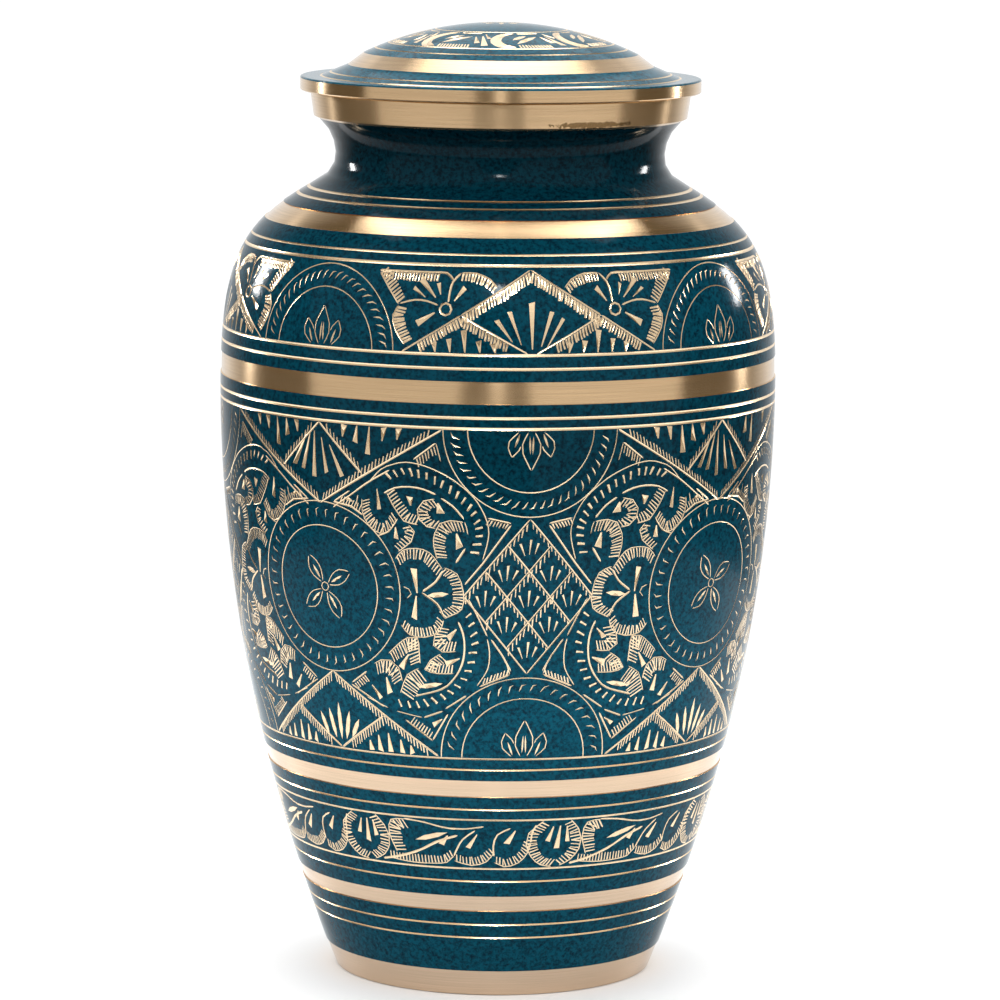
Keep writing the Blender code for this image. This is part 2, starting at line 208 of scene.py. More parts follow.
def body_outline(samples=80):
    """Outer outline of the body from the base up to the rim, as dense (radius, height) points."""
    shares = [index / samples for index in range(samples + 1)]
    spread = BELLY_RADIUS - FOOT_RADIUS
    side = [(BELLY_RADIUS - spread * (1.0 - t) ** 2, BELLY_HEIGHT * t) for t in shares]
    neck_foot = neck_point(-NECK_ARC_BELOW, SHOULDER_LEAN)
    rise = neck_foot[1] - BELLY_HEIGHT
    reach = SHOULDER_FULLNESS_AT_NECK * (BELLY_RADIUS - neck_foot[0])
    belly_handle = (BELLY_RADIUS, BELLY_HEIGHT + SHOULDER_FULLNESS_AT_BELLY * rise)
    neck_handle = (
        neck_foot[0] + reach * math.sin(SHOULDER_LEAN),
        neck_foot[1] - reach * math.cos(SHOULDER_LEAN),
    )
    shoulder = [bezier_point(t, side[-1], belly_handle, neck_handle, neck_foot) for t in shares]
    below = [neck_point(-NECK_ARC_BELOW, SHOULDER_LEAN * (1.0 - t)) for t in shares]
    above = [neck_point(NECK_ARC_ABOVE, FLARE_LEAN * t) for t in shares]
    return np.array(side + shoulder[1:] + below[1:] + above[1:])


OUTLINE_RADII, OUTLINE_HEIGHTS = body_outline().T
OUTLINE_LEANS = np.arctan2(-np.gradient(OUTLINE_RADII), np.gradient(OUTLINE_HEIGHTS))
FLARE_TOP = (float(OUTLINE_RADII[-1]), float(OUTLINE_HEIGHTS[-1]))
RIM_LOW = (FLARE_TOP[0] + RIM_STEP, FLARE_TOP[1] + RIM_STEP_RISE)

DOME_RADIUS = (DOME_FOOT[0] ** 2 + (LID_TOP - DOME_FOOT[1]) ** 2) / (2 * (LID_TOP - DOME_FOOT[1]))


def radius_at(height):
    """Radius of the bare outline at a height."""
    return float(np.interp(height, OUTLINE_HEIGHTS, OUTLINE_RADII))


def body_surface(across, up, depth, scale):
    """Points of the body under points of a flat sheet, as far in as their depths."""
    azimuth = np.radians(across / scale)
    lean = np.interp(up, OUTLINE_HEIGHTS, OUTLINE_LEANS)
    radius = np.interp(up, OUTLINE_HEIGHTS, OUTLINE_RADII) - depth * np.cos(lean)
    height = up - depth * np.sin(lean)
    return np.stack((radius * np.sin(azimuth), -radius * np.cos(azimuth), height), axis=1)


def body_normals(points):
    """Outward directions of the bare body at points near it."""
    lean = np.interp(points[:, 2], OUTLINE_HEIGHTS, OUTLINE_LEANS)
    radial = points[:, :2] / np.linalg.norm(points[:, :2], axis=1, keepdims=True)
    return np.column_stack((radial * np.cos(lean)[:, None], np.sin(lean)))


def dome_height(radius):
    """Height of the lid's dome at a distance from its axis."""
    return LID_TOP - DOME_RADIUS + np.sqrt(DOME_RADIUS**2 - np.asarray(radius) ** 2)


def dome_surface(across, up, depth):
    """Points of the dome over points of a flat sheet, as far in as their depths."""
    radius = np.hypot(across, up)
    outer = np.stack((across, up, dome_height(radius)), axis=1)
    centre = np.array((0.0, 0.0, LID_TOP - DOME_RADIUS))
    return centre + (outer - centre) * ((DOME_RADIUS - depth) / DOME_RADIUS)[:, None]


# Strokes of the graver


def vectors(points):
    return [Vector(point) for point in points]


def left_of(run):
    """The run turned a quarter to its left."""
    return Vector((-run.y, run.x))


def smooth(points, step=CURVE_STEP):
    """Points along the curve that runs through the given ones."""
    points = vectors(points)
    ends = [2 * points[0] - points[1], *points, 2 * points[-1] - points[-2]]
    found = []
    for before, start, end, after in zip(ends, ends[1:], ends[2:], ends[3:]):
        count = max(1, round((end - start).length / step))
        for index in range(count):
            t = index / count
            found.append(
                start
                + 0.5 * t * (end - before)
                + 0.5 * t * t * (2 * before - 5 * start + 4 * end - after)
                + 0.5 * t * t * t * (3 * start - before - 3 * end + after)
            )
    return found + [points[-1]]


def arc(centre, radius, start, end, stretch=1.0, steps=None):
    """Points on a circle between two angles in degrees; stretch widens it on the sheet."""
    steps = steps or max(2, round(math.radians(abs(end - start)) * radius / ARC_STEP))
    angles = [math.radians(start + (end - start) * index / steps) for index in range(steps + 1)]
    outs = [Vector((stretch * math.cos(angle), math.sin(angle))) for angle in angles]
    return [Vector(centre) + radius * out for out in outs]


def length_of(points):
    return sum((end - start).length for start, end in zip(points, points[1:]))


def spots_along(points, pitch, inset=0.0):
    """Evenly spaced points on a path, each with the path's direction there and its share of the way."""
    points = vectors(points)
    total = length_of(points)
    count = max(1, int((total - 2 * inset) / pitch))
    wanted = [inset + (total - 2 * inset) * (index + 0.5) / count for index in range(count)]
    found = []
    travelled = 0.0
    for start, end in zip(points, points[1:]):
        run = end - start
        while wanted and wanted[0] <= travelled + run.length:
            spot = start + run * ((wanted[0] - travelled) / run.length)
            found.append((spot, run.normalized(), wanted[0] / total))
            wanted.pop(0)
        travelled += run.length
    return found


def line(points, width=LINE_CUT):
    """A cut of even width that narrows at its ends."""
    points = vectors(points)
    half = [width / 2 * hand.uniform(*UNSTEADY_WIDTH) for _ in points]
    lead = min(0.7, 0.3 * (points[1] - points[0]).length)
    tail = min(0.7, 0.3 * (points[-1] - points[-2]).length)
    first = points[0].lerp(points[1], lead / (points[1] - points[0]).length)
    last = points[-1].lerp(points[-2], tail / (points[-1] - points[-2]).length)
    spine = [points[0], first, *points[1:-1], last, points[-1]]
    return Cut(spine, [0.0, half[0], *half[1:-1], half[-1], 0.0])


def curve(points, width=LINE_CUT):
    return line(smooth(points), width)


def ring(centre, radius, steps, width=FINE_CUT):
    """A round cut of even width."""
    points = arc(centre, radius, 0, 360, steps=steps)
    return Cut(points, [width / 2] * len(points))


def facet(corners, width):
    """A cut with straight sides that is deepest in its middle."""
    return Cut(vectors(corners), float(width))


def leaf(ends, width):
    """A cut that is pointed at both ends and widest in the middle."""
    start, end = vectors(ends)
    run = end - start
    aside = left_of(run).normalized() * width / 2
    near, far = start + run * 0.3, start + run * 0.7
    left_side = (far + aside * 0.85, near + aside * 0.9)
    return facet((start, near - aside * 0.9, far - aside * 0.85, end, *left_side), width)


def wedge(ends, width):
    """A cut that starts narrow and widens to a blunt, slanting end."""
    tip, foot = vectors(ends)
    width = width * hand.uniform(*UNSTEADY_WIDTH)
    run = (foot - tip).normalized()
    aside = left_of(run) * width / 2
    slant = run * width * hand.uniform(-0.2, 0.2)
    return facet((tip - aside * 0.2, foot - aside - slant, foot + aside + slant, tip + aside * 0.2), width)


def tick(start, end, width=TICK_CUT, base=None):
    """A short straight cut; its blunt start follows the base, the line that it starts from."""
    run = (end - start).normalized()
    aside = left_of(run) * width * hand.uniform(0.4, 0.6)
    foot = aside if base is None else base * (aside.length / run.cross(base))
    tip = aside * TICK_TIP_SHARE
    return facet((start - foot, end - tip, end + tip, start + foot), width)


def jittered(vector, share=0.1):
    """A short offset with the unsteadiness of the hand in its length and direction."""
    turned = Matrix.Rotation(hand.uniform(-share, share), 2) @ vector
    return turned * hand.uniform(1.0 - 1.4 * share, 1.0 + 1.4 * share)


def fringe(points, offset, pitch, width=TICK_CUT):
    """Parallel ticks that start at the edge of a line."""
    offset = Vector(offset)
    slant = abs((Vector(points[-1]) - Vector(points[0])).normalized().cross(offset.normalized()))
    cuts = []
    for spot, direction, _ in spots_along(points, pitch / slant, 0.3):
        edge = offset * ((LINE_CUT / 2 + TICK_GAP) / abs(direction.cross(offset)))
        cuts.append(tick(spot + edge, spot + jittered(offset, 0.07), width, direction))
    return cuts


def hatching(points, reach, pitch, width):
    """Ticks beside a curved line, to its left where the reach is positive; they fan out little."""
    spots = spots_along(points, pitch, 0.2)
    outs = [left_of(direction) for _, direction, _ in spots]
    mean = sum(outs, Vector((0.0, 0.0))) / len(outs)
    cuts = []
    for (spot, direction, share), out in zip(spots, outs):
        leaning = out.lerp(mean, HATCHING_EVENNESS).normalized() * reach
        leaning *= 0.8 + 0.2 * math.sin(math.pi * share)
        edge = out * math.copysign(FINE_CUT / 2 + TICK_GAP, reach)
        cuts.append(tick(spot + edge, spot + jittered(leaning, 0.05), width, direction))
    return cuts


def fringed_line(ends, offset, pitch, width=LINE_CUT, tick_width=TICK_CUT):
    """A straight line with ticks that start at its edge."""
    steps = max(1, round((ends[1] - ends[0]).length / STRAIGHT_STEP))
    points = [ends[0].lerp(ends[1], index / steps) for index in range(steps + 1)]
    return [line(points, width)] + fringe(ends, offset, pitch, tick_width)


def petal(points, reach, pitch=TICK_PITCH, width=FINE_CUT, tick_width=TICK_CUT):
    """A curved outline with dense hatching along one side."""
    path = smooth(points, ARC_STEP)
    return [line(path, width)] + hatching(path, reach * HATCHING_SHARE, pitch, tick_width)


def drawn(place, *rows):
    """Cuts from rows of a stroke, its points as the place function takes them, and its other values."""
    cuts = []
    for stroke, points, *values in rows:
        found = stroke(place(*points), *values)
        cuts += [found] if isinstance(found, Cut) else found
    return cuts


def moved(cuts, across, side=1, axis=0.0):
    """Copies of the cuts, mirrored about an upright axis where side is -1, then moved across."""
    found = []
    for cut in cuts:
        spine = [Vector((axis + side * (point.x - axis) + across, point.y)) for point in cut.spine]
        found.append(Cut(spine, cut.half_widths))
    return found


# Main register


def rope(centre, radius, reach, start, end, pitch, lean, stretch=1.0):
    """Short hooked cuts set across an arc, like the strands of a rope."""
    cuts = []
    for spot, direction, _ in spots_along(arc(centre, radius, start, end, stretch), pitch):
        across = Matrix.Rotation(lean, 2) @ -left_of(direction)
        bend = spot + across * reach * 0.4
        hook = bend + jittered(across * 0.25 * reach - direction * 0.35 * reach, 0.2)
        inner = spot - across * reach * 0.5 + jittered(across * 0.1)
        cuts.append(Cut([inner, inner.lerp(bend, 0.6), bend, hook], [0.0, TICK_CUT / 2, TICK_CUT / 2, 0.0]))
    return cuts


def medallion():
    """Two rings, a rope between them and a flower of four open petals."""
    centre = MAIN.at((MEDALLION_AZIMUTH, MEDALLION_HEIGHT))[0]
    cuts = [ring(centre, 23.8, 72), ring(centre, 17.1, 54), ring(centre, 1.2, 8)]
    cuts += rope(centre, 20.5, 2.4, 0, 360, 3.15, 0.0)
    for angle in (124, 31, -59, -138):
        out = Vector((math.cos(math.radians(angle)), math.sin(math.radians(angle))))
        flank = left_of(out)
        for side in (1, -1):
            shape = ((1.6, 0.3), (4.4, 1.7), (7.2, 1.75), (9.6, 0.35 * (1 - side)))
            points = [centre + out * along + flank * side * aside for along, aside in shape]
            cuts.append(curve(points, FINE_CUT))
        cuts.append(leaf((centre + out * 2.6, centre + out * 7.0), 0.75))
    return cuts


def lotus(foot, up, stretch):
    """A bud of three petals drawn in outline, standing on its foot or hanging from it."""

    def place(aside, along):
        return foot + Vector((aside * stretch, along * up)) * LOTUS_SCALE

    cuts = []
    for side in (1, -1):
        centre_petal = ((0.9, 0.3), (2.4, 3.4), (2.3, 5.8), (0.1, 10.4))
        outer_side = ((3.4, 0.2), (5.9, 2.6), (6.2, 4.4), (5.2, 6.9))
        inner_side = ((5.2, 6.9), (3.3, 5.0), (2.8, 3.9))
        for shape in (centre_petal, outer_side, inner_side):
            cuts.append(curve([place(side * aside, along) for aside, along in shape], FINE_CUT))
        cuts.append(leaf((place(side * 3.1, 0.6), place(side * 4.5, 4.4)), 0.6))
        cuts.append(leaf((place(side * 0.5, 1.2), place(side * 0.3, 6.2)), 0.5))
    return cuts


def half_medallion(register, azimuth, height, up, outer, inner, pitch):
    """Two half rings on a border line, a slanting rope between them and a lotus inside."""
    centre = register.at((azimuth, height))[0]
    stretch = math.degrees(register.scale) / radius_at(height + up * outer / 2)
    start, end = (0, 180) if up > 0 else (-180, 0)
    cuts = [
        line(arc(centre, outer, start, end, stretch), FINE_CUT),
        line(arc(centre, inner, start, end, stretch), FINE_CUT),
    ]
    middle = (outer + inner) / 2
    cuts += rope(centre, middle, 2.3, start + 4, end - 4, pitch, -0.5, stretch)
    return cuts + lotus(centre + Vector((0.0, 0.6 * up)), up, stretch)


def corner_point(share_right, share_up):
    """Point of the lattice in cell steps along its lower right and lower left sides."""
    low = Vector((LATTICE_AZIMUTH * MAIN.scale, MEDALLION_HEIGHT - LATTICE_RISE))
    right = Vector((LATTICE_REACH, LATTICE_RISE)) / LATTICE_CELLS
    left = Vector((-LATTICE_REACH, LATTICE_RISE)) / LATTICE_CELLS
    return low + right * share_right + left * share_up


def lattice():
    """Diamond of three by three cells with fringed lines and a sprig in each cell."""
    cuts = []
    for index in range(LATTICE_CELLS + 1):
        rising = (corner_point(0, index), corner_point(LATTICE_CELLS, index))
        falling = (corner_point(index, LATTICE_CELLS), corner_point(index, 0))
        if index:
            cuts += fringed_line(rising, (-0.2, -2.7), LATTICE_PITCH, THIN_CUT, 0.36)
            cuts += fringed_line(falling, (0.1, -1.9), LATTICE_PITCH, THIN_CUT, 0.32)
        else:
            cuts += [line(rising, BORDER_CUT), line(falling, BORDER_CUT)]
    for right in range(LATTICE_CELLS):
        for left in range(LATTICE_CELLS):
            middle = corner_point(right + 0.5, left + 0.5)
            sprig = (((-2.5, 0.4), (-1.3, -2.9)), ((0.2, 1.6), (-0.1, -2.6)), ((2.6, 0.4), (1.4, -2.4)))
            for top, foot in sprig:
                cuts.append(wedge((middle + Vector(foot), middle + jittered(Vector(top))), 0.62))
    return cuts


def chevrons():
    """One side of the hanging and the standing chevron, with their inner diamonds, fans and sprigs."""
    top = MAIN.at((MEDALLION_AZIMUTH, 163.0), (MEDALLION_AZIMUTH, 140.7), (-11.0, 163.0), (-28.0, 149.9))
    low = MAIN.at((MEDALLION_AZIMUTH, 71.6), (MEDALLION_AZIMUTH, 93.4), (-13.0, 71.6), (-25.7, 82.2))
    cuts = fringed_line((top[1], top[2]), (0.5, 2.4), CHEVRON_PITCH)
    cuts += fringed_line((top[0], top[3]), (-0.4, 2.5), CHEVRON_PITCH)
    cuts += fringed_line((low[1], low[2]), (0.35, -2.4), CHEVRON_PITCH)
    cuts += fringed_line((low[0], low[3]), (0.1, -2.6), CHEVRON_PITCH)
    for azimuth, drop in ((-32.0, 3.3), (-29.0, 4.6), (-26.2, 7.6), (-23.0, 3.7), (-19.8, 3.1)):
        ends = MAIN.at((azimuth, 162.9), (azimuth - 0.4, 162.9 - drop))
        cuts.append(wedge(ends[::-1], 1.8) if drop < 4.0 else wedge(ends, 1.7))
    for azimuth, rise in ((-30.0, 2.8), (-27.6, 4.6), (-25.0, 5.4), (-22.0, 3.8), (-19.6, 2.4)):
        cuts.append(wedge(MAIN.at((azimuth, 71.9 + rise), (azimuth + 0.3, 71.9)), 1.6))
    return cuts


def diamond_fans():
    """Spread strokes in the upper and the lower diamond."""
    return drawn(
        MAIN.at,
        (wedge, ((-41.4, 159.8), (-45.0, 150.6)), 1.35),
        (wedge, ((-40.4, 160.2), (-42.6, 149.7)), 1.35),
        (wedge, ((-39.4, 160.4), (-39.6, 147.8)), 1.35),
        (wedge, ((-37.6, 158.8), (-36.4, 149.2)), 1.35),
        (wedge, ((-35.6, 157.0), (-32.6, 148.6)), 1.35),
        (leaf, ((-41.8, 74.6), (-43.6, 81.2)), 1.5),
        (leaf, ((-39.6, 74.0), (-40.8, 82.6)), 1.5),
        (leaf, ((-38.0, 73.8), (-37.8, 84.6)), 1.5),
        (leaf, ((-36.6, 74.0), (-34.9, 82.4)), 1.5),
        (leaf, ((-34.9, 74.8), (-32.4, 80.4)), 1.5),
    )


def half_flower():
    """Three hatched petals against the side of a medallion."""
    return drawn(
        MAIN.at,
        (petal, ((-20.9, 127.0), (-19.2, 129.5), (-16.4, 130.2), (-13.6, 129.2), (-10.9, 124.6)), -2.5),
        (petal, ((-10.7, 125.2), (-8.0, 123.6), (-6.7, 118.8), (-7.0, 113.8), (-10.7, 111.0)), -2.4),
        (petal, ((-10.9, 110.6), (-11.8, 107.3), (-15.0, 105.5), (-18.4, 106.0), (-20.2, 108.6)), -2.2),
        (curve, ((-10.9, 124.4), (-12.4, 121.2), (-15.2, 118.3))),
        (curve, ((-10.7, 111.2), (-12.2, 115.0), (-15.4, 118.0))),
        (wedge, ((-16.4, 117.8), (-17.0, 124.6)), 1.7),
        (leaf, ((-14.3, 117.2), (-9.7, 118.0)), 1.5),
        (wedge, ((-16.6, 117.0), (-17.2, 110.6)), 1.8),
        (curve, ((-19.4, 119.4), (-18.2, 118.8), (-17.7, 117.4), (-18.6, 116.2)), FINE_CUT),
    )


def crescent_rope(border, shift, lean, width, first_share=0.0):
    """Slanting ticks along a crescent's border, moved to its right by the shift."""
    cuts = []
    for spot, direction, share in spots_along(border, ROPE_PITCH):
        if share > first_share:
            right = -left_of(direction)
            forward = direction * lean
            middle = spot + right * shift
            cuts.append(tick(middle - right - forward, middle + jittered(right + forward, 0.2), width))
    return cuts


def upper_crescent():
    """Crescent of petals over the half flower, under a rope border."""
    border = smooth(
        MAIN.at(
            (-26.5, 147.4), (-23.7, 151.4), (-21.1, 153.0), (-18.3, 153.8), (-14.4, 153.0), (-10.1, 150.6),
            (-7.2, 148.0), (-4.7, 145.0), (-3.1, 141.9), (-1.9, 138.3), (-1.5, 134.9), (-1.9, 131.5),
            (-2.7, 127.6),
        )
    )
    cuts = [line(border, FINE_CUT)]
    cuts.append(curve(MAIN.at((-35.0, 139.8), (-30.8, 143.6), (-26.6, 147.6), (-21.8, 151.4)), THIN_CUT))
    cuts += crescent_rope(border, 2.5, 0.3, 0.62, 0.1)
    return cuts + drawn(
        MAIN.at,
        (curve, ((-23.1, 144.9), (-20.7, 146.6), (-17.6, 147.1), (-14.7, 146.6), (-12.2, 145.3)), BORDER_CUT),
        (curve, ((-11.2, 144.4), (-8.8, 142.3), (-6.6, 139.0)), BORDER_CUT),
        (curve, ((-6.4, 138.0), (-6.0, 136.5), (-5.7, 134.5)), FINE_CUT),
        (petal, ((-22.5, 145.2), (-21.4, 142.2), (-20.1, 139.6), (-18.9, 137.6), (-15.9, 136.8)), 2.5),
        (
            petal,
            ((-12.4, 144.1), (-14.7, 143.4), (-16.0, 141.0), (-15.8, 138.5), (-14.1, 136.4), (-12.2, 136.0)),
            2.4,
        ),
        (
            petal,
            ((-6.6, 137.9), (-9.3, 138.3), (-11.4, 137.4), (-12.5, 134.5), (-12.7, 131.1), (-12.0, 127.4)),
            2.8,
        ),
        (line, ((-6.2, 130.8), (-8.2, 126.6))),
        (
            petal,
            ((-28.0, 143.0), (-28.0, 139.4), (-26.7, 135.8), (-24.0, 133.7), (-21.7, 135.2), (-20.2, 138.2)),
            2.4,
        ),
        (curve, ((-24.8, 133.0), (-22.2, 134.4), (-21.0, 136.8)), FINE_CUT),
        (petal, ((-17.9, 136.7), (-16.7, 134.8), (-17.4, 132.0), (-20.3, 129.0)), -2.0),
        (wedge, ((-24.6, 146.0), (-24.2, 140.4)), 1.3),
        (wedge, ((-17.4, 142.0), (-17.6, 144.4)), 2.0),
        (wedge, ((-11.8, 143.0), (-11.2, 140.2)), 2.1),
        (wedge, ((-8.0, 134.8), (-7.4, 130.8)), 2.0),
        (wedge, ((-20.7, 135.8), (-20.6, 132.6)), 1.4),
    )


def lower_crescent():
    """Crescent of petals under the half flower, over a rope border."""
    inner = MAIN.at(
        (-7.8, 110.3), (-6.8, 106.9), (-6.5, 102.9), (-7.1, 98.2), (-8.9, 94.1), (-11.7, 91.0), (-17.8, 88.6)
    )
    border = MAIN.at(
        (-6.0, 113.4), (-4.4, 106.1), (-4.8, 100.9), (-6.2, 95.4), (-8.7, 91.5), (-12.4, 88.2),
        (-17.0, 86.3), (-22.4, 86.3),
    )
    cuts = [curve(inner, 0.5)]
    cuts += crescent_rope(smooth(border), 0.0, 0.35, 0.6)
    return cuts + drawn(
        MAIN.at,
        (curve, ((-22.4, 83.9), (-19.0, 83.1), (-16.4, 82.6)), FINE_CUT),
        (curve, ((-16.0, 82.6), (-11.6, 84.7)), BORDER_CUT),
        (curve, ((-11.0, 85.4), (-6.2, 89.4)), BORDER_CUT),
        (curve, ((-1.7, 105.6), (-1.2, 101.9), (-1.6, 97.0), (-3.9, 92.2)), FINE_CUT),
        (petal, ((-11.6, 109.0), (-12.8, 106.3), (-13.2, 103.3), (-11.4, 101.6), (-8.3, 101.9)), 2.8),
        (petal, ((-11.6, 101.0), (-14.0, 99.0), (-15.3, 96.4), (-12.5, 95.4), (-8.9, 95.6)), 2.6),
        (petal, ((-16.6, 96.6), (-19.3, 94.6), (-20.3, 92.1), (-21.2, 89.2)), 4.3),
        (
            petal,
            ((-23.4, 100.2), (-21.0, 103.1), (-18.8, 105.1), (-16.7, 105.3), (-16.4, 101.7), (-16.3, 97.9)),
            -3.1,
        ),
        (petal, ((-27.0, 97.0), (-25.3, 98.2), (-23.1, 98.3), (-21.3, 96.4), (-20.6, 92.6)), -3.2),
        (wedge, ((-8.2, 108.1), (-10.0, 105.4)), 1.7),
        (wedge, ((-7.6, 99.9), (-10.6, 98.2)), 1.8),
        (wedge, ((-18.8, 100.4), (-20.6, 96.4)), 1.7),
        (wedge, ((-24.3, 93.4), (-23.7, 88.9)), 1.8),
        (leaf, ((-17.0, 91.2), (-11.4, 92.6)), 1.4),
    )


def corner_pieces():
    """Small hatched triangles that fill the corners between the larger figures."""
    return drawn(
        MAIN.at,
        (line, ((-16.8, 154.6), (-12.2, 159.4)), BORDER_CUT),
        (line, ((-12.2, 159.4), (-11.2, 154.4)), FINE_CUT),
        (line, ((-1.8, 139.2), (3.0, 137.8)), BORDER_CUT),
        (line, ((3.0, 137.4), (-2.7, 126.6), (-6.4, 120.6)), BORDER_CUT),
        (line, ((-34.8, 141.4), (-30.8, 144.9)), BORDER_CUT),
        (line, ((-35.0, 141.4), (-30.6, 140.6), (-27.9, 138.4)), BORDER_CUT),
        (line, ((-28.9, 144.0), (-29.4, 140.9)), FINE_CUT),
        (line, ((-33.4, 90.4), (-25.4, 84.8)), BORDER_CUT),
        (line, ((-33.2, 90.8), (-29.0, 94.6)), BORDER_CUT),
        (line, ((-29.6, 87.2), (-24.4, 84.6)), FINE_CUT),
        (line, ((-20.4, 81.6), (-14.2, 76.0)), BORDER_CUT),
        (line, ((-14.2, 76.2), (-10.4, 84.0)), BORDER_CUT),
        (line, ((-3.4, 92.0), (3.2, 95.6)), BORDER_CUT),
        (line, ((3.2, 95.6), (2.4, 98.9)), FINE_CUT),
        (line, ((-5.7, 116.8), (-4.0, 112.6), (-1.7, 106.3)), 0.4),
        (line, ((-0.9, 105.5), (1.5, 101.0), (3.4, 96.5)), BORDER_CUT),
        (fringe, ((-16.6, 154.8), (-12.2, 159.2)), (0.5, -2.5), 0.85),
        (fringe, ((-1.8, 139.2), (3.0, 137.8)), (-0.9, -1.7), 0.8),
        (fringe, ((-33.8, 141.2), (-28.4, 138.8)), (1.0, 2.3), 0.85),
        (fringe, ((-33.0, 90.6), (-29.4, 94.0)), (1.5, -1.7), 0.8),
        (fringe, ((-19.8, 81.0), (-14.6, 76.4)), (1.4, 1.9), 0.85),
        (fringe, ((-3.2, 92.2), (3.0, 95.4)), (0.6, 2.0), 0.8),
        (wedge, ((-30.2, 142.0), (-31.6, 142.8)), 1.3),
        (wedge, ((-28.0, 90.8), (-26.0, 87.2)), 1.3),
        (wedge, ((-11.8, 82.4), (-13.9, 80.6)), 1.4),
    )


def repeated(register, half, whole):
    """A register's repeats: a half and its mirror image about the axis, then what is drawn whole."""
    cuts = []
    for index in range(REPEATS):
        across = 360.0 / REPEATS * register.scale * index
        for side in (1, -1):
            cuts += moved(half(), across, side, LATTICE_AZIMUTH * register.scale)
        cuts += moved(whole(), across)
    return cuts


def main_half():
    return chevrons() + half_flower() + upper_crescent() + lower_crescent() + corner_pieces()


def main_whole():
    cuts = diamond_fans() + medallion() + lattice()
    cuts += half_medallion(MAIN, LATTICE_AZIMUTH, 163.5, -1, 24.0, 17.3, 2.3)
    return cuts + half_medallion(MAIN, LATTICE_AZIMUTH, 71.2, 1, 23.4, 17.5, 3.1)


# Shoulder register


def shoulder_diamond():
    """Fan in the middle diamond of the shoulder register."""
    return drawn(
        SHOULDER.at,
        (wedge, ((6.8, 185.0), (6.8, 197.4)), 1.6),
        (wedge, ((4.6, 186.2), (2.2, 195.0)), 1.2),
        (wedge, ((2.8, 187.0), (-0.4, 192.8)), 1.4),
        (wedge, ((8.6, 185.8), (10.9, 195.0)), 1.3),
        (wedge, ((9.8, 185.6), (13.2, 193.2)), 1.0),
    )


def shoulder_side():
    """Right half of one repeat: boldly fringed lines, a butterfly and a sprig."""
    apex, elbow, foot, inner = SHOULDER.at((6.8, 205.9), (21.2, 193.9), (33.2, 183.7), (7.6, 183.7))
    cuts = fringed_line((apex, elbow), (-0.5, -2.9), SHOULDER_PITCH, BORDER_CUT, 0.66)
    cuts += fringed_line((elbow, foot), (-0.9, -2.5), SHOULDER_PITCH, BORDER_CUT, 0.66)
    cuts += fringed_line((elbow, inner), (0.5, -2.6), SHOULDER_PITCH, BORDER_CUT, 0.62)
    for azimuth, rise in ((14.2, 2.6), (17.2, 3.2), (20.2, 6.0), (23.2, 3.6), (26.2, 2.6)):
        cuts.append(wedge(SHOULDER.at((azimuth, 184.0), (azimuth + 0.3, 184.0 + rise)), 1.6))
    cuts.append(ring(SHOULDER.at((24.4, 195.4))[0], 1.6, 8, LINE_CUT))
    return cuts + drawn(
        SHOULDER.at,
        (petal, ((13.8, 201.2), (15.4, 203.4), (18.4, 204.9), (21.6, 204.9)), -2.0, SHOULDER_PITCH, 0.4, 0.6),
        (curve, ((21.6, 204.9), (23.2, 202.6), (23.7, 200.0), (23.9, 197.2))),
        (wedge, ((22.7, 197.6), (20.6, 201.2)), 1.5),
        (curve, ((23.1, 203.0), (24.6, 204.8), (27.8, 204.9), (33.0, 204.9), (39.8, 204.9))),
        (fringe, ((25.8, 204.9), (39.0, 204.9)), (0.3, -2.3), SHOULDER_PITCH, 0.55),
        (petal, ((39.6, 204.5), (37.2, 200.8), (34.4, 196.3)), -2.5, SHOULDER_PITCH, 0.4, 0.62),
        (wedge, ((26.6, 198.4), (30.0, 203.2)), 1.6),
        (wedge, ((25.6, 199.2), (26.2, 202.2)), 1.1),
        (wedge, ((28.8, 198.4), (31.4, 200.8)), 1.0),
        (curve, ((26.0, 196.4), (28.4, 197.4), (31.0, 197.6), (34.2, 196.5)), BORDER_CUT),
        (
            petal,
            ((34.4, 196.1), (35.4, 193.4), (34.8, 189.8), (32.6, 185.6)),
            -2.6, SHOULDER_PITCH, 0.4, 0.62,
        ),
        (wedge, ((26.6, 194.4), (30.2, 191.4)), 1.7),
    )


def shoulder_whole():
    return shoulder_diamond() + half_medallion(SHOULDER, MEDALLION_AZIMUTH, 183.4, 1, 22.4, 16.3, 2.3)


# Leaf register


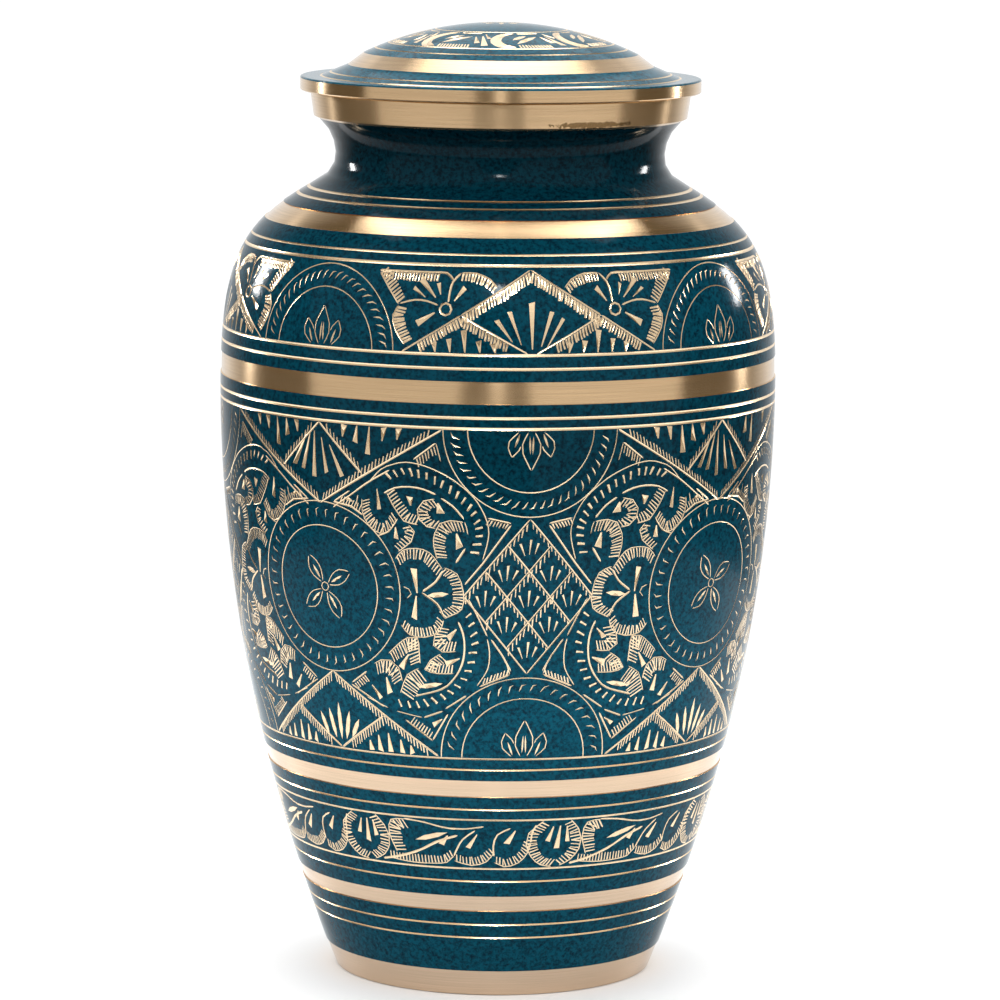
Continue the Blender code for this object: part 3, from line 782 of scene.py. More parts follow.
def leaf_group():
    """An oval, a long leaf and three petals, which repeat round the foot."""
    return drawn(
        LEAVES.at,
        (
            petal,
            ((-38.6, 53.0), (-42.4, 49.4), (-42.9, 46.2), (-41.4, 42.4), (-38.8, 40.0), (-35.6, 39.3)),
            2.3, LEAF_PITCH,
        ),
        (
            petal,
            ((-31.6, 53.0), (-29.2, 50.2), (-28.1, 47.2), (-28.4, 44.2), (-30.4, 41.2), (-33.6, 39.5)),
            -2.3, LEAF_PITCH,
        ),
        (wedge, ((-36.0, 51.2), (-37.3, 46.9)), 1.4),
        (wedge, ((-34.2, 51.4), (-34.7, 44.7)), 1.5),
        (wedge, ((-32.4, 51.2), (-31.9, 46.6)), 1.3),
        (wedge, ((-11.8, 48.4), (-13.6, 45.7)), 1.4),
        (wedge, ((-4.2, 49.0), (-6.6, 45.0)), 1.5),
        (wedge, ((5.6, 50.2), (3.4, 46.4)), 1.6),
        (petal, ((-23.0, 52.4), (-26.9, 51.9), (-27.9, 47.8), (-26.2, 42.4)), 2.9, LEAF_PITCH),
        (curve, ((-23.4, 52.6), (-18.0, 52.0), (-13.4, 50.9), (-9.4, 50.4)), THIN_CUT),
        (curve, ((-11.4, 50.6), (-7.2, 50.6), (-2.4, 51.4)), THIN_CUT),
        (curve, ((-30.8, 40.0), (-25.2, 41.4), (-19.6, 43.6), (-14.4, 46.6), (-9.2, 48.6)), 0.65),
        (leaf, ((-20.6, 46.6), (-11.8, 49.3)), 1.5),
        (petal, ((-29.0, 40.6), (-23.6, 39.9), (-18.0, 39.8), (-12.4, 40.4), (-10.2, 42.6)), 2.0, LEAF_PITCH),
        (curve, ((-4.6, 50.2), (-7.8, 47.6), (-9.4, 44.8), (-10.4, 42.4)), THIN_CUT),
        (petal, ((-10.4, 41.0), (-5.8, 39.8), (-1.8, 41.0), (0.4, 44.0)), 2.0, LEAF_PITCH),
        (curve, ((4.4, 51.0), (1.0, 49.0), (0.0, 45.6), (0.2, 42.6)), THIN_CUT),
        (petal, ((0.2, 40.8), (3.0, 39.5), (6.6, 40.6), (8.9, 43.4), (9.7, 46.6)), 2.0, LEAF_PITCH),
        (curve, ((9.7, 46.6), (9.9, 49.4), (10.9, 51.9)), THIN_CUT),
    )


def leaf_register():
    cuts = []
    for index in range(LEAF_GROUPS):
        cuts += moved(leaf_group(), 360.0 / LEAF_GROUPS * LEAVES.scale * index)
    return cuts


# Top of the lid


def polar(*points):
    """Sheet points of the lid from (azimuth, distance from the axis) pairs."""
    return [
        Vector((r * math.sin(math.radians(azimuth)), -r * math.cos(math.radians(azimuth))))
        for azimuth, r in points
    ]


def lid_leaf():
    """A bold curl with two veins and a hatched edge."""
    curl = polar((10.0, 19.6), (2.0, 20.8), (-2.6, 23.6), (-3.0, 27.0), (1.6, 30.0), (8.0, 30.6))
    spine = smooth(curl, 2.0)
    share = math.pi / (len(spine) - 1)
    inner_points = range(1, len(spine) - 1)
    swell = [(1.1 + 0.25 * share * index) * math.sin(share * index) ** 0.5 for index in inner_points]
    cuts = [Cut(spine, [0.0, *swell, 0.0])]
    cuts += drawn(
        polar,
        (curve, ((12.0, 19.7), (20.0, 20.0), (30.0, 19.8)), 0.7),
        (leaf, ((7.0, 25.4), (18.0, 22.0)), 1.6),
        (leaf, ((9.0, 28.2), (25.0, 22.8)), 1.8),
    )
    for index in range(11):
        azimuth = 10.5 + 1.7 * index
        cuts.append(tick(*polar((azimuth, 31.1), (azimuth - 0.6, 29.0)), 0.55))
    return cuts + drawn(
        polar,
        (wedge, ((27.4, 23.0), (31.0, 27.8)), 1.7),
        (wedge, ((32.0, 22.4), (36.0, 29.6)), 1.9),
        (wedge, ((33.0, 20.4), (37.4, 24.4)), 1.2),
    )


def turned_about(cuts, degrees):
    """The cuts turned about the lid's axis."""
    turn = Matrix.Rotation(math.radians(degrees), 2)
    return [Cut([turn @ point for point in cut.spine], cut.half_widths) for cut in cuts]


def lid_pattern():
    cuts = [
        ring((0, 0), 31.6, LID_TURN_STEPS, LID_LINE_WIDTH),
        ring((0, 0), 18.4, 72, LINE_CUT),
        ring((0, 0), 1.3, 8, LINE_CUT),
    ]
    for index in range(LID_REPEATS):
        cuts += turned_about(lid_leaf(), 360.0 / LID_REPEATS * index)
    rosette_petal = [leaf(polar((0.0, 2.4), (0.0, 6.4)), 1.5)]
    for index in range(LID_REPEATS):
        cuts += turned_about(rosette_petal, 360.0 / LID_REPEATS * index)
    return cuts


# Meshes

Sheet = namedtuple("Sheet", "points triangles cut_flags depths")


def section_across(spine, index):
    """Direction square to a stroke at one of its points."""
    closed = (spine[0] - spine[-1]).length < 1e-6
    before = spine[index - 1] if index else spine[-2 if closed else 0]
    after = spine[index + 1] if index < len(spine) - 1 else spine[1 if closed else -1]
    return left_of((after - before).normalized())


class CutList:
    """Outlines of the strokes for the cutting-up, and small triangles that tell depth inside them."""

    def __init__(self, cuts):
        self.vertices = []
        self.edges = []
        self.depths = []
        self.triangles = []
        for cut in cuts:
            self.add(cut)

    def add(self, cut):
        if isinstance(cut.half_widths, float):
            self.add_facet(cut.spine, cut.half_widths)
        else:
            self.add_stroke(cut)

    def add_facet(self, corners, width):
        first = len(self.vertices)
        self.vertices += corners
        self.vertices.append(sum(corners, Vector((0.0, 0.0))) / len(corners))
        self.depths += [0.0] * len(corners)
        self.depths.append(min(CUT_SLOPE * width / 2, DEEPEST_CUT))
        for index in range(len(corners)):
            side = (first + index, first + (index + 1) % len(corners))
            self.edges.append(side)
            self.triangles.append((first + len(corners), *side))

    def add_stroke(self, cut):
        last = None
        for index, (point, half) in enumerate(zip(cut.spine, cut.half_widths)):
            middle = len(self.vertices)
            self.vertices.append(point)
            self.depths.append(min(CUT_SLOPE * half, DEEPEST_CUT))
            left = right = middle
            if half > 0.0:
                aside = section_across(cut.spine, index) * half
                self.vertices += [point + aside, point - aside]
                self.depths += [0.0, 0.0]
                left, right = middle + 1, middle + 2
            section = (middle, left, right)
            if last:
                sides = zip(last, section) if len(cut.spine) > 3 else zip(last[1:], section[1:])
                self.edges += set(sides)
                for side in (1, 2):
                    self.triangles.append((last[0], section[0], section[side]))
                    self.triangles.append((last[0], section[side], last[side]))
            last = section

    def depth_at(self, points):
        """Depth of the deepest stroke at each of many points of the sheet."""
        vertices = np.array([tuple(vertex) for vertex in self.vertices])
        corners = vertices[np.array(self.triangles)]
        corner_depths = np.array(self.depths)[np.array(self.triangles)]
        turn = np.cross(corners[:, 1] - corners[:, 0], corners[:, 2] - corners[:, 0])
        solid = np.abs(turn) > 1e-7
        corners, corner_depths, turn = corners[solid], corner_depths[solid], turn[solid]
        low = np.floor(corners.min(axis=1) / LOOKUP_CELL).astype(int)
        high = np.floor(corners.max(axis=1) / LOOKUP_CELL).astype(int)
        lookup = {}
        for index, (first, final) in enumerate(zip(low.tolist(), high.tolist())):
            for column in range(first[0], final[0] + 1):
                for row in range(first[1], final[1] + 1):
                    lookup.setdefault((column, row), []).append(index)
        found = np.zeros(len(points))
        cells = np.floor(points / LOOKUP_CELL).astype(int)
        order = np.lexsort((cells[:, 1], cells[:, 0]))
        breaks = np.flatnonzero(np.any(np.diff(cells[order], axis=0), axis=1)) + 1
        for group in np.split(order, breaks):
            near = lookup.get(tuple(cells[group[0]].tolist()))
            if not near:
                continue
            a, b, c = (corners[near, corner][None, :, :] for corner in range(3))
            spot = points[group][:, None, :]
            share_b = np.cross(spot - a, c - a) / np.cross(b - a, c - a)
            share_c = np.cross(b - a, spot - a) / np.cross(b - a, c - a)
            share_a = 1.0 - share_b - share_c
            inside = np.minimum(np.minimum(share_a, share_b), share_c) > -1e-6
            near_depths = corner_depths[near]
            depth = share_a * near_depths[:, 0] + share_b * near_depths[:, 1] + share_c * near_depths[:, 2]
            found[group] = np.where(inside, depth, 0.0).max(axis=1)
        return found


def cut_up(cuts, extra_points, extra_edges, keep):
    """Cuts a flat sheet up along the strokes: triangles, which of them lie in strokes, and depths."""
    strokes = CutList(cuts)
    shift = len(strokes.vertices)
    vertices = strokes.vertices + extra_points
    edges = strokes.edges + [(start + shift, end + shift) for start, end in extra_edges]
    points, _, triangles, *_ = delaunay_2d_cdt(vertices, edges, [], 0, SPLIT_EPSILON, False)
    points = np.array([tuple(point) for point in points])
    triangles = np.array(triangles)
    middles = points[triangles].mean(axis=1)
    kept = keep(middles)
    triangles, middles = triangles[kept], middles[kept]
    depths = np.maximum(strokes.depth_at(points), 0.0)
    return Sheet(points, triangles.tolist(), strokes.depth_at(middles) > 0.0, depths)


def wrapped_sheet(register, cuts):
    """The register's sheet, cut up along its strokes and border lines from seam to seam."""
    reach = 180.0 * register.scale
    low, high = register.borders[0] + BORDER_INSET, register.borders[1] - BORDER_INSET

    def is_kept(cut):
        """Facets lie wholly between the border lines; other strokes may end on them."""
        heights = [point.y for point in cut.spine]
        return not isinstance(cut.half_widths, float) or low < min(heights) and max(heights) < high

    step = 2 * reach / TURN_STEPS
    beyond = math.ceil(SEAM_MARGIN / step)
    columns = [-reach + step * index for index in range(-beyond, TURN_STEPS + beyond + 1)]
    strokes = [cut for cut in cuts if is_kept(cut)]
    doubled = list(strokes)
    for height in register.borders:
        width = THIN_LINE_WIDTH if height < BELLY_HEIGHT / 2 else LINE_WIDTH
        doubled.append(Cut([Vector((x, height)) for x in columns], [width / 2] * len(columns)))
    for cut in strokes:
        across = [point.x for point in cut.spine]
        if max(across) > reach - SEAM_MARGIN:
            doubled += moved([cut], -2 * reach)
        if min(across) < SEAM_MARGIN - reach:
            doubled += moved([cut], 2 * reach)
    rows = round((register.high - register.low) / PROFILE_STEP)
    heights = [register.low + (register.high - register.low) * index / rows for index in range(rows + 1)]
    points = [Vector((x, height)) for x in columns for height in heights]
    edges = []
    for column in range(len(columns) - 1):
        start = column * (rows + 1)
        edges.append((start, start + rows + 1))
        edges.append((start + rows, start + 2 * rows + 1))
    for column in (beyond, beyond + TURN_STEPS):
        edges += [(column * (rows + 1) + row, column * (rows + 1) + row + 1) for row in range(rows)]
    return cut_up(doubled, points, edges, lambda middles: np.abs(middles[:, 0]) < reach)


def turned_circle(radius, steps):
    """Points round the axis, from the back on by the left."""
    angles = [math.tau * index / steps - math.pi for index in range(steps)]
    return [(radius * math.sin(angle), -radius * math.cos(angle)) for angle in angles]


class Shell:
    """Vertices and faces gathered for one mesh, in millimetres, with the steps of its turned faces."""

    def __init__(self, steps):
        self.steps = steps
        self.vertices = []
        self.faces = []
        self.materials = []
        self.skin = []

    def add_sheet(self, places, sheet):
        shift = len(self.vertices)
        self.vertices += [tuple(place) for place in places]
        for triangle, is_cut in zip(sheet.triangles, sheet.cut_flags):
            self.faces.append([index + shift for index in triangle])
            self.materials.append(CUT_BRASS if is_cut else ENAMEL)
            self.skin.append(0 if is_cut else 1)

    def add_turned(self, profile, material, skin=0):
        """A surface of revolution from (radius, height) points that run upwards on the outside."""
        rings = []
        for radius, height in profile:
            shift = len(self.vertices)
            if radius < 1e-6:
                self.vertices.append((0.0, 0.0, height))
                rings.append([shift] * self.steps)
                continue
            self.vertices += [(x, y, height) for x, y in turned_circle(radius, self.steps)]
            rings.append(list(range(shift, shift + self.steps)))
        for low, high in zip(rings, rings[1:]):
            for index in range(self.steps):
                after = (index + 1) % self.steps
                corners = [low[index], low[after], high[after], high[index]]
                self.faces.append(list(dict.fromkeys(corners)))
                self.materials.append(material)
                self.skin.append(skin)

    def to_object(self, name, materials, normals_of):
        """The welded mesh, with the true surface's directions on its skin."""
        mesh = bpy.data.meshes.new(name)
        mesh.from_pydata([[value * MM for value in vertex] for vertex in self.vertices], [], self.faces)
        mesh.polygons.foreach_set("material_index", self.materials)
        layer = mesh.attributes.new("skin", "INT", "FACE")
        layer.data.foreach_set("value", self.skin)
        work = bmesh.new()
        work.from_mesh(mesh)
        bmesh.ops.remove_doubles(work, verts=work.verts[:], dist=WELD_DISTANCE)
        loose = [vertex for vertex in work.verts if not vertex.link_faces]
        bmesh.ops.delete(work, geom=loose, context="VERTS")
        for face in work.faces:
            face.smooth = True
        work.to_mesh(mesh)
        work.free()
        for material in materials:
            mesh.materials.append(material)
        mesh.set_sharp_from_angle(angle=SHARP_ANGLE)
        set_skin_normals(mesh, normals_of)
        piece = bpy.data.objects.new(name, mesh)
        bpy.context.scene.collection.objects.link(piece)
        return piece


def set_skin_normals(mesh, normals_of):
    """Gives the corners of skin faces the directions of the true surface."""
    corner_count = len(mesh.loops)
    normals = np.empty(corner_count * 3, dtype=np.float32)
    mesh.corner_normals.foreach_get("vector", normals)
    normals = normals.reshape(-1, 3)
    corner_vertices = np.empty(corner_count, dtype=np.int32)
    mesh.loops.foreach_get("vertex_index", corner_vertices)
    places = np.empty(len(mesh.vertices) * 3, dtype=np.float32)
    mesh.vertices.foreach_get("co", places)
    places = places.reshape(-1, 3)[corner_vertices] / MM
    skin = np.empty(len(mesh.polygons), dtype=np.int32)
    mesh.attributes["skin"].data.foreach_get("value", skin)
    totals = np.empty(len(mesh.polygons), dtype=np.int32)
    mesh.polygons.foreach_get("loop_total", totals)
    chosen = np.repeat(skin, totals) == 1
    normals[chosen] = normals_of(places[chosen])
    mesh.normals_split_custom_set(normals.tolist())


def outline_between(low, high, depth=0.0):
    """Outline from one height to another in even steps, sunk by a depth."""
    count = max(1, math.ceil((high - low) / PROFILE_STEP))
    heights = [low + (high - low) * index / count for index in range(count + 1)]
    return [(radius_at(height) - depth, height) for height in heights]


def add_body_side(shell):
    """Bands, thin lines and plain enamel of the outer side, apart from the engraved sheets."""
    marks = [(low, high, "band") for low, high in BANDS]
    for heights, width in ((LINES, LINE_WIDTH), (THIN_LINES, THIN_LINE_WIDTH)):
        marks += [(height - width / 2, height + width / 2, "line") for height in heights]
    marks += [(register.low, register.high, "sheet") for register in (LEAVES, MAIN, SHOULDER)]
    marks.sort()
    height = 0.0
    for low, high, kind in marks:
        if low > height:
            shell.add_turned(outline_between(height, low), ENAMEL, 1)
        if kind == "band":
            wall = [(radius_at(low), low), (radius_at(low) - BAND_DEPTH, low)]
            roof = [(radius_at(high) - BAND_DEPTH, high), (radius_at(high), high)]
            if low > 0.0:
                shell.add_turned(wall, CUT_BRASS)
            shell.add_turned(outline_between(low, high, BAND_DEPTH), BAND, 1)
            shell.add_turned(roof, CUT_BRASS)
        elif kind == "line":
            middle = (low + high) / 2
            bottom = (radius_at(middle) - LINE_DEPTH, middle)
            shell.add_turned([(radius_at(low), low), bottom, (radius_at(high), high)], CUT_BRASS)
        height = high
    shell.add_turned(outline_between(height, FLARE_TOP[1]), ENAMEL, 1)


def moved_inwards(points, distance):
    """An outline that runs upwards, moved to the inside by a distance."""
    points = np.array(points)
    runs = np.gradient(points, axis=0)
    runs /= np.linalg.norm(runs, axis=1, keepdims=True)
    return [(r - distance * dz, z + distance * dr) for (r, z), (dr, dz) in zip(points, runs)]


def add_body_rest(shell):
    """Rim, mouth, inside and underside of the body."""
    rim_radius = RIM_LOW[0] + RIM_TAPER
    shell.add_turned([FLARE_TOP, RIM_LOW], BAND)
    rim = [
        RIM_LOW,
        (rim_radius, RIM_TOP - RIM_EDGE),
        (rim_radius - RIM_EDGE, RIM_TOP),
        (MOUTH_RADIUS + MOUTH_CHAMFER, RIM_TOP),
        (MOUTH_RADIUS, RIM_TOP - MOUTH_CHAMFER),
    ]
    shell.add_turned(rim, BAND)
    inner = moved_inwards(list(zip(OUTLINE_RADII, OUTLINE_HEIGHTS)), WALL)
    below_mouth = [point for point in inner if point[1] < NECK_HEIGHT or point[0] < MOUTH_RADIUS]
    throat = [point for point in below_mouth if point[1] > FLOOR_TOP + 0.8][::INSIDE_STRIDE]
    inside = [(MOUTH_RADIUS, RIM_TOP - MOUTH_CHAMFER), (MOUTH_RADIUS, throat[-1][1] + 0.4)]
    inside += throat[::-1]
    inside += [(throat[0][0] - 0.8, FLOOR_TOP), (20.0, FLOOR_TOP), (0.0, FLOOR_TOP)]
    shell.add_turned(inside, INSIDE)
    foot = radius_at(0.0) - BAND_DEPTH
    underside = [(0.0, BASE_RECESS), (20.0, BASE_RECESS), (FOOT_RING_INSIDE - BASE_RECESS, BASE_RECESS)]
    underside += [(FOOT_RING_INSIDE, 0.0), (foot, 0.0)]
    shell.add_turned(underside, INSIDE)


def make_body(materials):
    shell = Shell(TURN_STEPS)
    patterns = (
        (LEAVES, leaf_register()),
        (MAIN, repeated(MAIN, main_half, main_whole)),
        (SHOULDER, repeated(SHOULDER, shoulder_side, shoulder_whole)),
    )
    for register, cuts in patterns:
        sheet = wrapped_sheet(register, cuts)
        across, up = sheet.points.T
        shell.add_sheet(body_surface(across, up, sheet.depths, register.scale), sheet)
    add_body_side(shell)
    add_body_rest(shell)
    return shell.to_object("engraved_urn", materials, body_normals)


def lid_normals(places):
    """Outward directions of the dome and of the conical rings round it."""
    radial = places[:, :2] / np.maximum(np.linalg.norm(places[:, :2], axis=1, keepdims=True), 1e-6)
    radius = np.linalg.norm(places[:, :2], axis=1)
    lean = np.arccos(np.clip(radius / DOME_RADIUS, 0.0, 1.0))
    return np.column_stack((radial * np.cos(lean)[:, None], np.sin(lean)))


def lid_point(radius):
    """Point of the lid's enamelled slope or of its dome at a distance from the axis."""
    if radius <= DOME_FOOT[0]:
        return (radius, float(dome_height(radius)))
    share = (SLOPE_FOOT_RADIUS - radius) / (SLOPE_FOOT_RADIUS - BAND_FOOT[0])
    return (radius, FLANGE_TOP + share * (BAND_FOOT[1] - FLANGE_TOP))


def ring_groove(radius):
    """Section of a turned line on the lid, from its outer edge inwards."""
    bottom = (radius, lid_point(radius)[1] - LINE_DEPTH)
    return [lid_point(radius + LID_LINE_WIDTH / 2), bottom, lid_point(radius - LID_LINE_WIDTH / 2)]


def lid_sheet():
    """The crown of the lid, cut up along its strokes."""
    points = [Vector((0.0, 0.0))]
    for index in range(1, LID_SHEET_RINGS):
        radius = index * LID_SHEET_RADIUS / LID_SHEET_RINGS
        points += arc((0, 0), radius, 0, 360, steps=max(8, round(radius * 2)))[:-1]
    shift = len(points)
    points += vectors(turned_circle(LID_SHEET_RADIUS, LID_TURN_STEPS))
    edges = [(shift + index, shift + (index + 1) % LID_TURN_STEPS) for index in range(LID_TURN_STEPS)]
    return cut_up(lid_pattern(), points, edges, lambda middles: np.ones(len(middles), bool))


def make_lid(materials):
    shell = Shell(LID_TURN_STEPS)
    sheet = lid_sheet()
    across, up = sheet.points.T
    shell.add_sheet(dome_surface(across, up, sheet.depths), sheet)

    edge = LID_LINES[0]
    edge_line = [(edge + LID_EDGE, FLANGE_TOP), (edge, FLANGE_TOP - EDGE_LINE_DEPTH)]
    edge_line.append(lid_point(edge - LID_EDGE))
    slope_line = ring_groove(LID_LINES[1])
    dome_line = ring_groove(LID_LINES[2])
    flange_low = (LID_RADIUS, LID_BOTTOM + LID_EDGE)
    flange_high = (LID_RADIUS, FLANGE_TOP - FLANGE_CORNER)
    corner = [flange_high, (LID_RADIUS - 0.15, FLANGE_TOP - 0.15), (LID_RADIUS - FLANGE_CORNER, FLANGE_TOP)]
    hollow = [(0.0, LID_TOP - LID_WALL)]
    hollow += [(radius, float(dome_height(radius)) - LID_WALL) for radius in (8.0, 16.0, 24.0, 31.0)]
    hollow += [(37.6, 257.9), (42.3, 254.9), (PLUG_INSIDE_RADIUS, 254.4)]
    plug = [
        (PLUG_INSIDE_RADIUS, PLUG_BOTTOM + LID_EDGE),
        (PLUG_INSIDE_RADIUS + LID_EDGE, PLUG_BOTTOM),
        (PLUG_RADIUS - LID_EDGE, PLUG_BOTTOM),
        (PLUG_RADIUS, PLUG_BOTTOM + LID_EDGE),
        (PLUG_RADIUS, LID_BOTTOM),
    ]
    for profile, material, skin in (
        ([(PLUG_RADIUS, LID_BOTTOM), (LID_RADIUS - LID_EDGE, LID_BOTTOM), flange_low], BAND, 0),
        ([flange_low, flange_high], BAND, 0),
        (corner + [edge_line[0]], ENAMEL, 0),
        (edge_line, CUT_BRASS, 0),
        ([edge_line[-1], slope_line[0]], ENAMEL, 0),
        (slope_line, CUT_BRASS, 0),
        ([slope_line[-1], BAND_FOOT], ENAMEL, 0),
        ([BAND_FOOT, DOME_FOOT], BAND, 0),
        ([lid_point(DOME_FOOT[0]), lid_point(37.4), dome_line[0]], ENAMEL, 1),
        (dome_line, CUT_BRASS, 0),
        ([dome_line[-1], lid_point(33.8), lid_point(LID_SHEET_RADIUS)], ENAMEL, 1),
        (hollow + plug, INSIDE, 0),
    ):
        shell.add_turned(profile, material, skin)
    return shell.to_object("engraved_lid", materials, lid_normals)


# Materials


def add_node(tree, kind, output, inputs, **settings):
    """Output of a new node with these settings; its inputs are linked, or set to constants."""
    node = tree.nodes.new(kind)
    for name, value in settings.items():
        setattr(node, name, value)
    for name, value in inputs.items():
        if isinstance(value, bpy.types.NodeSocket):
            tree.links.new(value, node.inputs[name])
        else:
            node.inputs[name].default_value = value
    return node.outputs[output]


def noise(tree, place, scale, detail, roughness):
    inputs = {"Vector": place, "Scale": scale, "Detail": detail, "Roughness": roughness}
    return add_node(tree, "ShaderNodeTexNoise", "Fac", inputs)


def ramp(tree, value, stops):
    """Colour for a value, from stops of a position and a colour."""
    colour = add_node(tree, "ShaderNodeValToRGB", "Color", {"Fac": value})
    elements = colour.node.color_ramp.elements
    while len(elements) < len(stops):
        elements.new(0.5)
    for element, (position, shade) in zip(elements, stops):
        element.position = position
        element.color = (*shade, 1.0)
    return colour


def mix(tree, factor, first, second, blend_type="MIX"):
    inputs = {"Factor": factor, "A": first, "B": second}
    return add_node(tree, "ShaderNodeMix", "Result", inputs, data_type="RGBA", blend_type=blend_type)


def height_share(tree, place):
    """Height as a share of the urn's."""
    height = add_node(tree, "ShaderNodeSeparateXYZ", "Z", {"Vector": place})
    return add_node(tree, "ShaderNodeMath", "Value", {0: height, 1: TOP * MM}, operation="DIVIDE")


def start_material(name, metallic, roughness):
    """A new material, its node tree and its shader."""
    material = bpy.data.materials.new(name)
    material.use_nodes = True
    shader = material.node_tree.nodes["Principled BSDF"]
    shader.inputs["Metallic"].default_value = metallic
    shader.inputs["Roughness"].default_value = roughness
    return material, material.node_tree, shader


def place_on_piece(tree):
    return add_node(tree, "ShaderNodeTexCoord", "Object", {})


def finish_material(material, shader, colour, height, strength, distance):
    """Links the colour and the bump that follows a height."""
    bump = {"Height": height, "Strength": strength, "Distance": distance}
    normal = add_node(material.node_tree, "ShaderNodeBump", "Normal", bump)
    material.node_tree.links.new(colour, shader.inputs["Base Color"])
    material.node_tree.links.new(normal, shader.inputs["Normal"])
    return material


def enamel_material(name, light, dark, gloss, painted_shades):
    """Glossy enamel with fine darker mottling, its colour darkened at some heights by a painted shade."""
    material, tree, shader = start_material(name, 0.0, 0.11)
    place = place_on_piece(tree)
    mottled = ramp(tree, noise(tree, place, 820.0, 4.0, 0.75), ((0.38, dark), (0.58, light)))
    # Painted shade: the enamel's colour is multiplied darker by height, most on the upper belly and under the
    # rim
    shade = ramp(tree, height_share(tree, place), [(z / TOP, (v, v, v)) for z, v in painted_shades])
    shader.inputs["Specular IOR Level"].default_value = gloss
    colour = mix(tree, 1.0, mottled, shade, "MULTIPLY")
    return finish_material(material, shader, colour, noise(tree, place, 420.0, 3.0, 0.6), 0.15, 0.0002)


def rim_stain(tree, place):
    """How brown the brass is: tarnish along the rim's lower edge, to the right of the front."""
    kind = "ShaderNodeVectorMath"
    shift = add_node(tree, kind, "Vector", {0: place, 1: RIM_STAIN}, operation="SUBTRACT")
    share = add_node(tree, kind, "Vector", {0: shift, 1: RIM_STAIN_REACH}, operation="DIVIDE")
    length = add_node(tree, kind, "Value", {0: share}, operation="LENGTH")
    sums = {0: length, 1: noise(tree, place, 700.0, 3.0, 0.7)}
    ragged = add_node(tree, "ShaderNodeMath", "Value", sums, operation="ADD")
    return ramp(tree, ragged, ((0.9, (1.0, 1.0, 1.0)), (1.0, (0.0, 0.0, 0.0))))


def brass_material(name, colour, roughness, streak):
    """Brass with fine lathe lines round the axis."""
    material, tree, shader = start_material(name, 1.0, roughness)
    place = place_on_piece(tree)
    stretch = {"Vector": place, "Scale": (30.0, 30.0, 5200.0)}
    lathe = noise(tree, add_node(tree, "ShaderNodeMapping", "Vector", stretch), 1.0, 3.0, 0.6)
    dull = tuple(value * (1.0 - streak) for value in colour)
    clean = ramp(tree, lathe, ((0.3, dull), (0.7, colour)))
    return finish_material(material, shader, clean, lathe, 0.25, 0.00003)


def turned_brass_material(name, colour, roughness, streak, painted_reflection_colour):
    """Brass whose lathe lines stretch its reflections, paler towards the foot with a painted reflection of
    the white floor, and stained at the rim.
    """
    material = brass_material(name, colour, roughness, streak)
    tree = material.node_tree
    shader = tree.nodes["Principled BSDF"]
    clean = shader.inputs["Base Color"].links[0].from_socket
    place = place_on_piece(tree)
    # Painted reflection: towards the foot the brass colour is paled as if it mirrored the white floor
    low = tuple(value / full for value, full in zip(painted_reflection_colour, colour))
    tint = ramp(tree, height_share(tree, place), ((0.2, low), (0.55, (1.0, 1.0, 1.0))))
    tinted = mix(tree, 1.0, clean, tint, "MULTIPLY")
    tree.links.new(mix(tree, rim_stain(tree, place), tinted, RIM_STAIN_COLOUR), shader.inputs["Base Color"])
    shader.inputs["Anisotropic"].default_value = 0.97
    shader.inputs["Anisotropic Rotation"].default_value = 0.25
    tangent = add_node(tree, "ShaderNodeTangent", "Tangent", {}, direction_type="RADIAL", axis="Z")
    tree.links.new(tangent, shader.inputs["Tangent"])
    return material


# Stage


def make_floor():
    place = (0.0, 0.0, -0.0002)
    bpy.ops.mesh.primitive_circle_add(vertices=128, radius=0.5, fill_type="NGON", location=place)
    floor = bpy.context.object
    floor.name = "floor"
    material, _, shader = start_material("pale_floor", 0.0, 0.6)
    shader.inputs["Base Color"].default_value = (0.93, 0.935, 0.94, 1.0)
    shader.inputs["Specular IOR Level"].default_value = 0.2
    floor.data.materials.append(material)


def softbox(name, azimuth, elevation, distance, width, height, power, only_mirrored=False):
    """A rectangular lamp that faces the urn; a glint only shows where it is mirrored."""
    lamp = bpy.data.lights.new(name, "AREA")
    lamp.shape = "RECTANGLE"
    lamp.size = width
    lamp.size_y = height
    lamp.energy = power
    holder = bpy.data.objects.new(name, lamp)
    turn, lift = math.radians(azimuth), math.radians(elevation)
    target = Vector((0.0, 0.0, 0.14))
    out = Vector((math.sin(turn) * math.cos(lift), -math.cos(turn) * math.cos(lift), math.sin(lift)))
    holder.location = target + out * distance
    holder.rotation_euler = out.to_track_quat("Z", "Y").to_euler()
    holder.visible_diffuse = not only_mirrored
    bpy.context.scene.collection.objects.link(holder)


def make_world():
    """White studio all round, mirrored darker and warmer on the camera's side, where the room is."""
    world = bpy.data.worlds.new("studio")
    world.use_nodes = True
    bpy.context.scene.world = world
    tree = world.node_tree
    direction = add_node(tree, "ShaderNodeTexCoord", "Generated", {})
    depth = add_node(tree, "ShaderNodeSeparateXYZ", "Y", {"Vector": direction})
    room = ramp(tree, depth, ((0.56, ROOM_COLOUR), (0.88, BACKDROP_COLOUR)))
    mirrored = add_node(tree, "ShaderNodeLightPath", "Is Glossy Ray", {})
    colour = mix(tree, mirrored, (1.05, 1.05, 1.05, 1.0), room)
    tree.links.new(colour, tree.nodes["Background"].inputs["Color"])


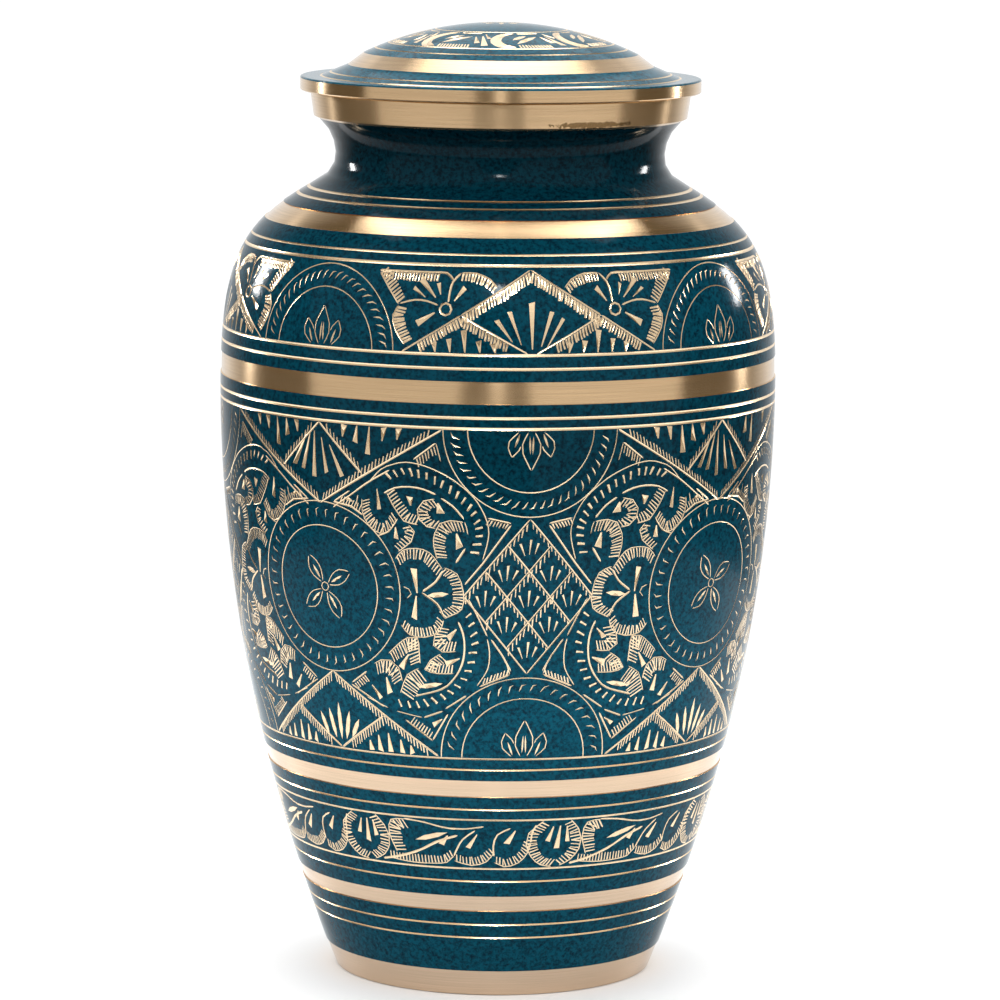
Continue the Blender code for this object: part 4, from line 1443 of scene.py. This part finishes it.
def make_camera():
    """The photograph's viewpoint: long lens, slightly above, with the small tilt of its frame."""
    camera = bpy.data.cameras.new("camera")
    camera.lens = 190.1
    camera.sensor_width = 36.0
    camera.shift_x = 0.0033
    camera.clip_end = 100.0
    holder = bpy.data.objects.new("camera", camera)
    pitch, roll = 0.1411, 0.0099
    holder.matrix_world = (
        Matrix.Translation((0.0, -1.4854, 0.3442))
        @ Matrix.Rotation(math.pi / 2 - pitch, 4, "X")
        @ Matrix.Rotation(roll, 4, "Z")
    )
    bpy.context.scene.collection.objects.link(holder)
    bpy.context.scene.camera = holder


def main():
    bpy.context.scene.view_settings.view_transform = "Standard"
    make_camera()
    make_world()
    make_floor()
    softbox("left_softbox", -48.0, 22.0, 1.2, 1.75, 2.15, 7.4)
    softbox("right_softbox", 46.0, 22.0, 1.2, 1.75, 2.15, 8.5)
    softbox("top_softbox", 180.0, 76.0, 1.2, 1.3, 0.6, 11.0)
    softbox("back_softbox", 180.0, 48.0, 1.2, 0.7, 0.5, 1.1)
    softbox("front_glint", 0.0, 33.0, 1.8, 0.09, 0.3, 10.0, True)
    softbox("left_glint", -124.0, 14.0, 1.6, 0.16, 0.36, 10.0, True)
    softbox("right_glint", 120.0, 14.0, 1.6, 0.16, 0.36, 10.0, True)

    band = turned_brass_material("turned_brass", (0.72, 0.51, 0.30), 0.2, 0.2, (0.66, 0.50, 0.36))
    cut = brass_material("cut_brass", (0.86, 0.66, 0.43), 0.26, 0.1)
    inside = brass_material("raw_brass", (0.52, 0.38, 0.22), 0.45, 0.3)
    light, dark = (0.0013, 0.062, 0.098), (0.0006, 0.018, 0.032)
    body_enamel = enamel_material("teal_enamel", light, dark, 0.05, BODY_PAINTED_SHADES)
    light, dark = (0.0015, 0.072, 0.110), (0.0006, 0.020, 0.034)
    lid_enamel = enamel_material("lid_enamel", light, dark, 0.07, LID_SHADES)

    body = make_body((body_enamel, band, cut, inside))
    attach(body, "root")
    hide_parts("urn_body")
    lid = make_lid((lid_enamel, band, cut, inside))
    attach(lid, "root")
    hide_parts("lid")
    for piece in (body, lid):
        print(piece.name, "triangles", sum(len(face.vertices) - 2 for face in piece.data.polygons))


main()
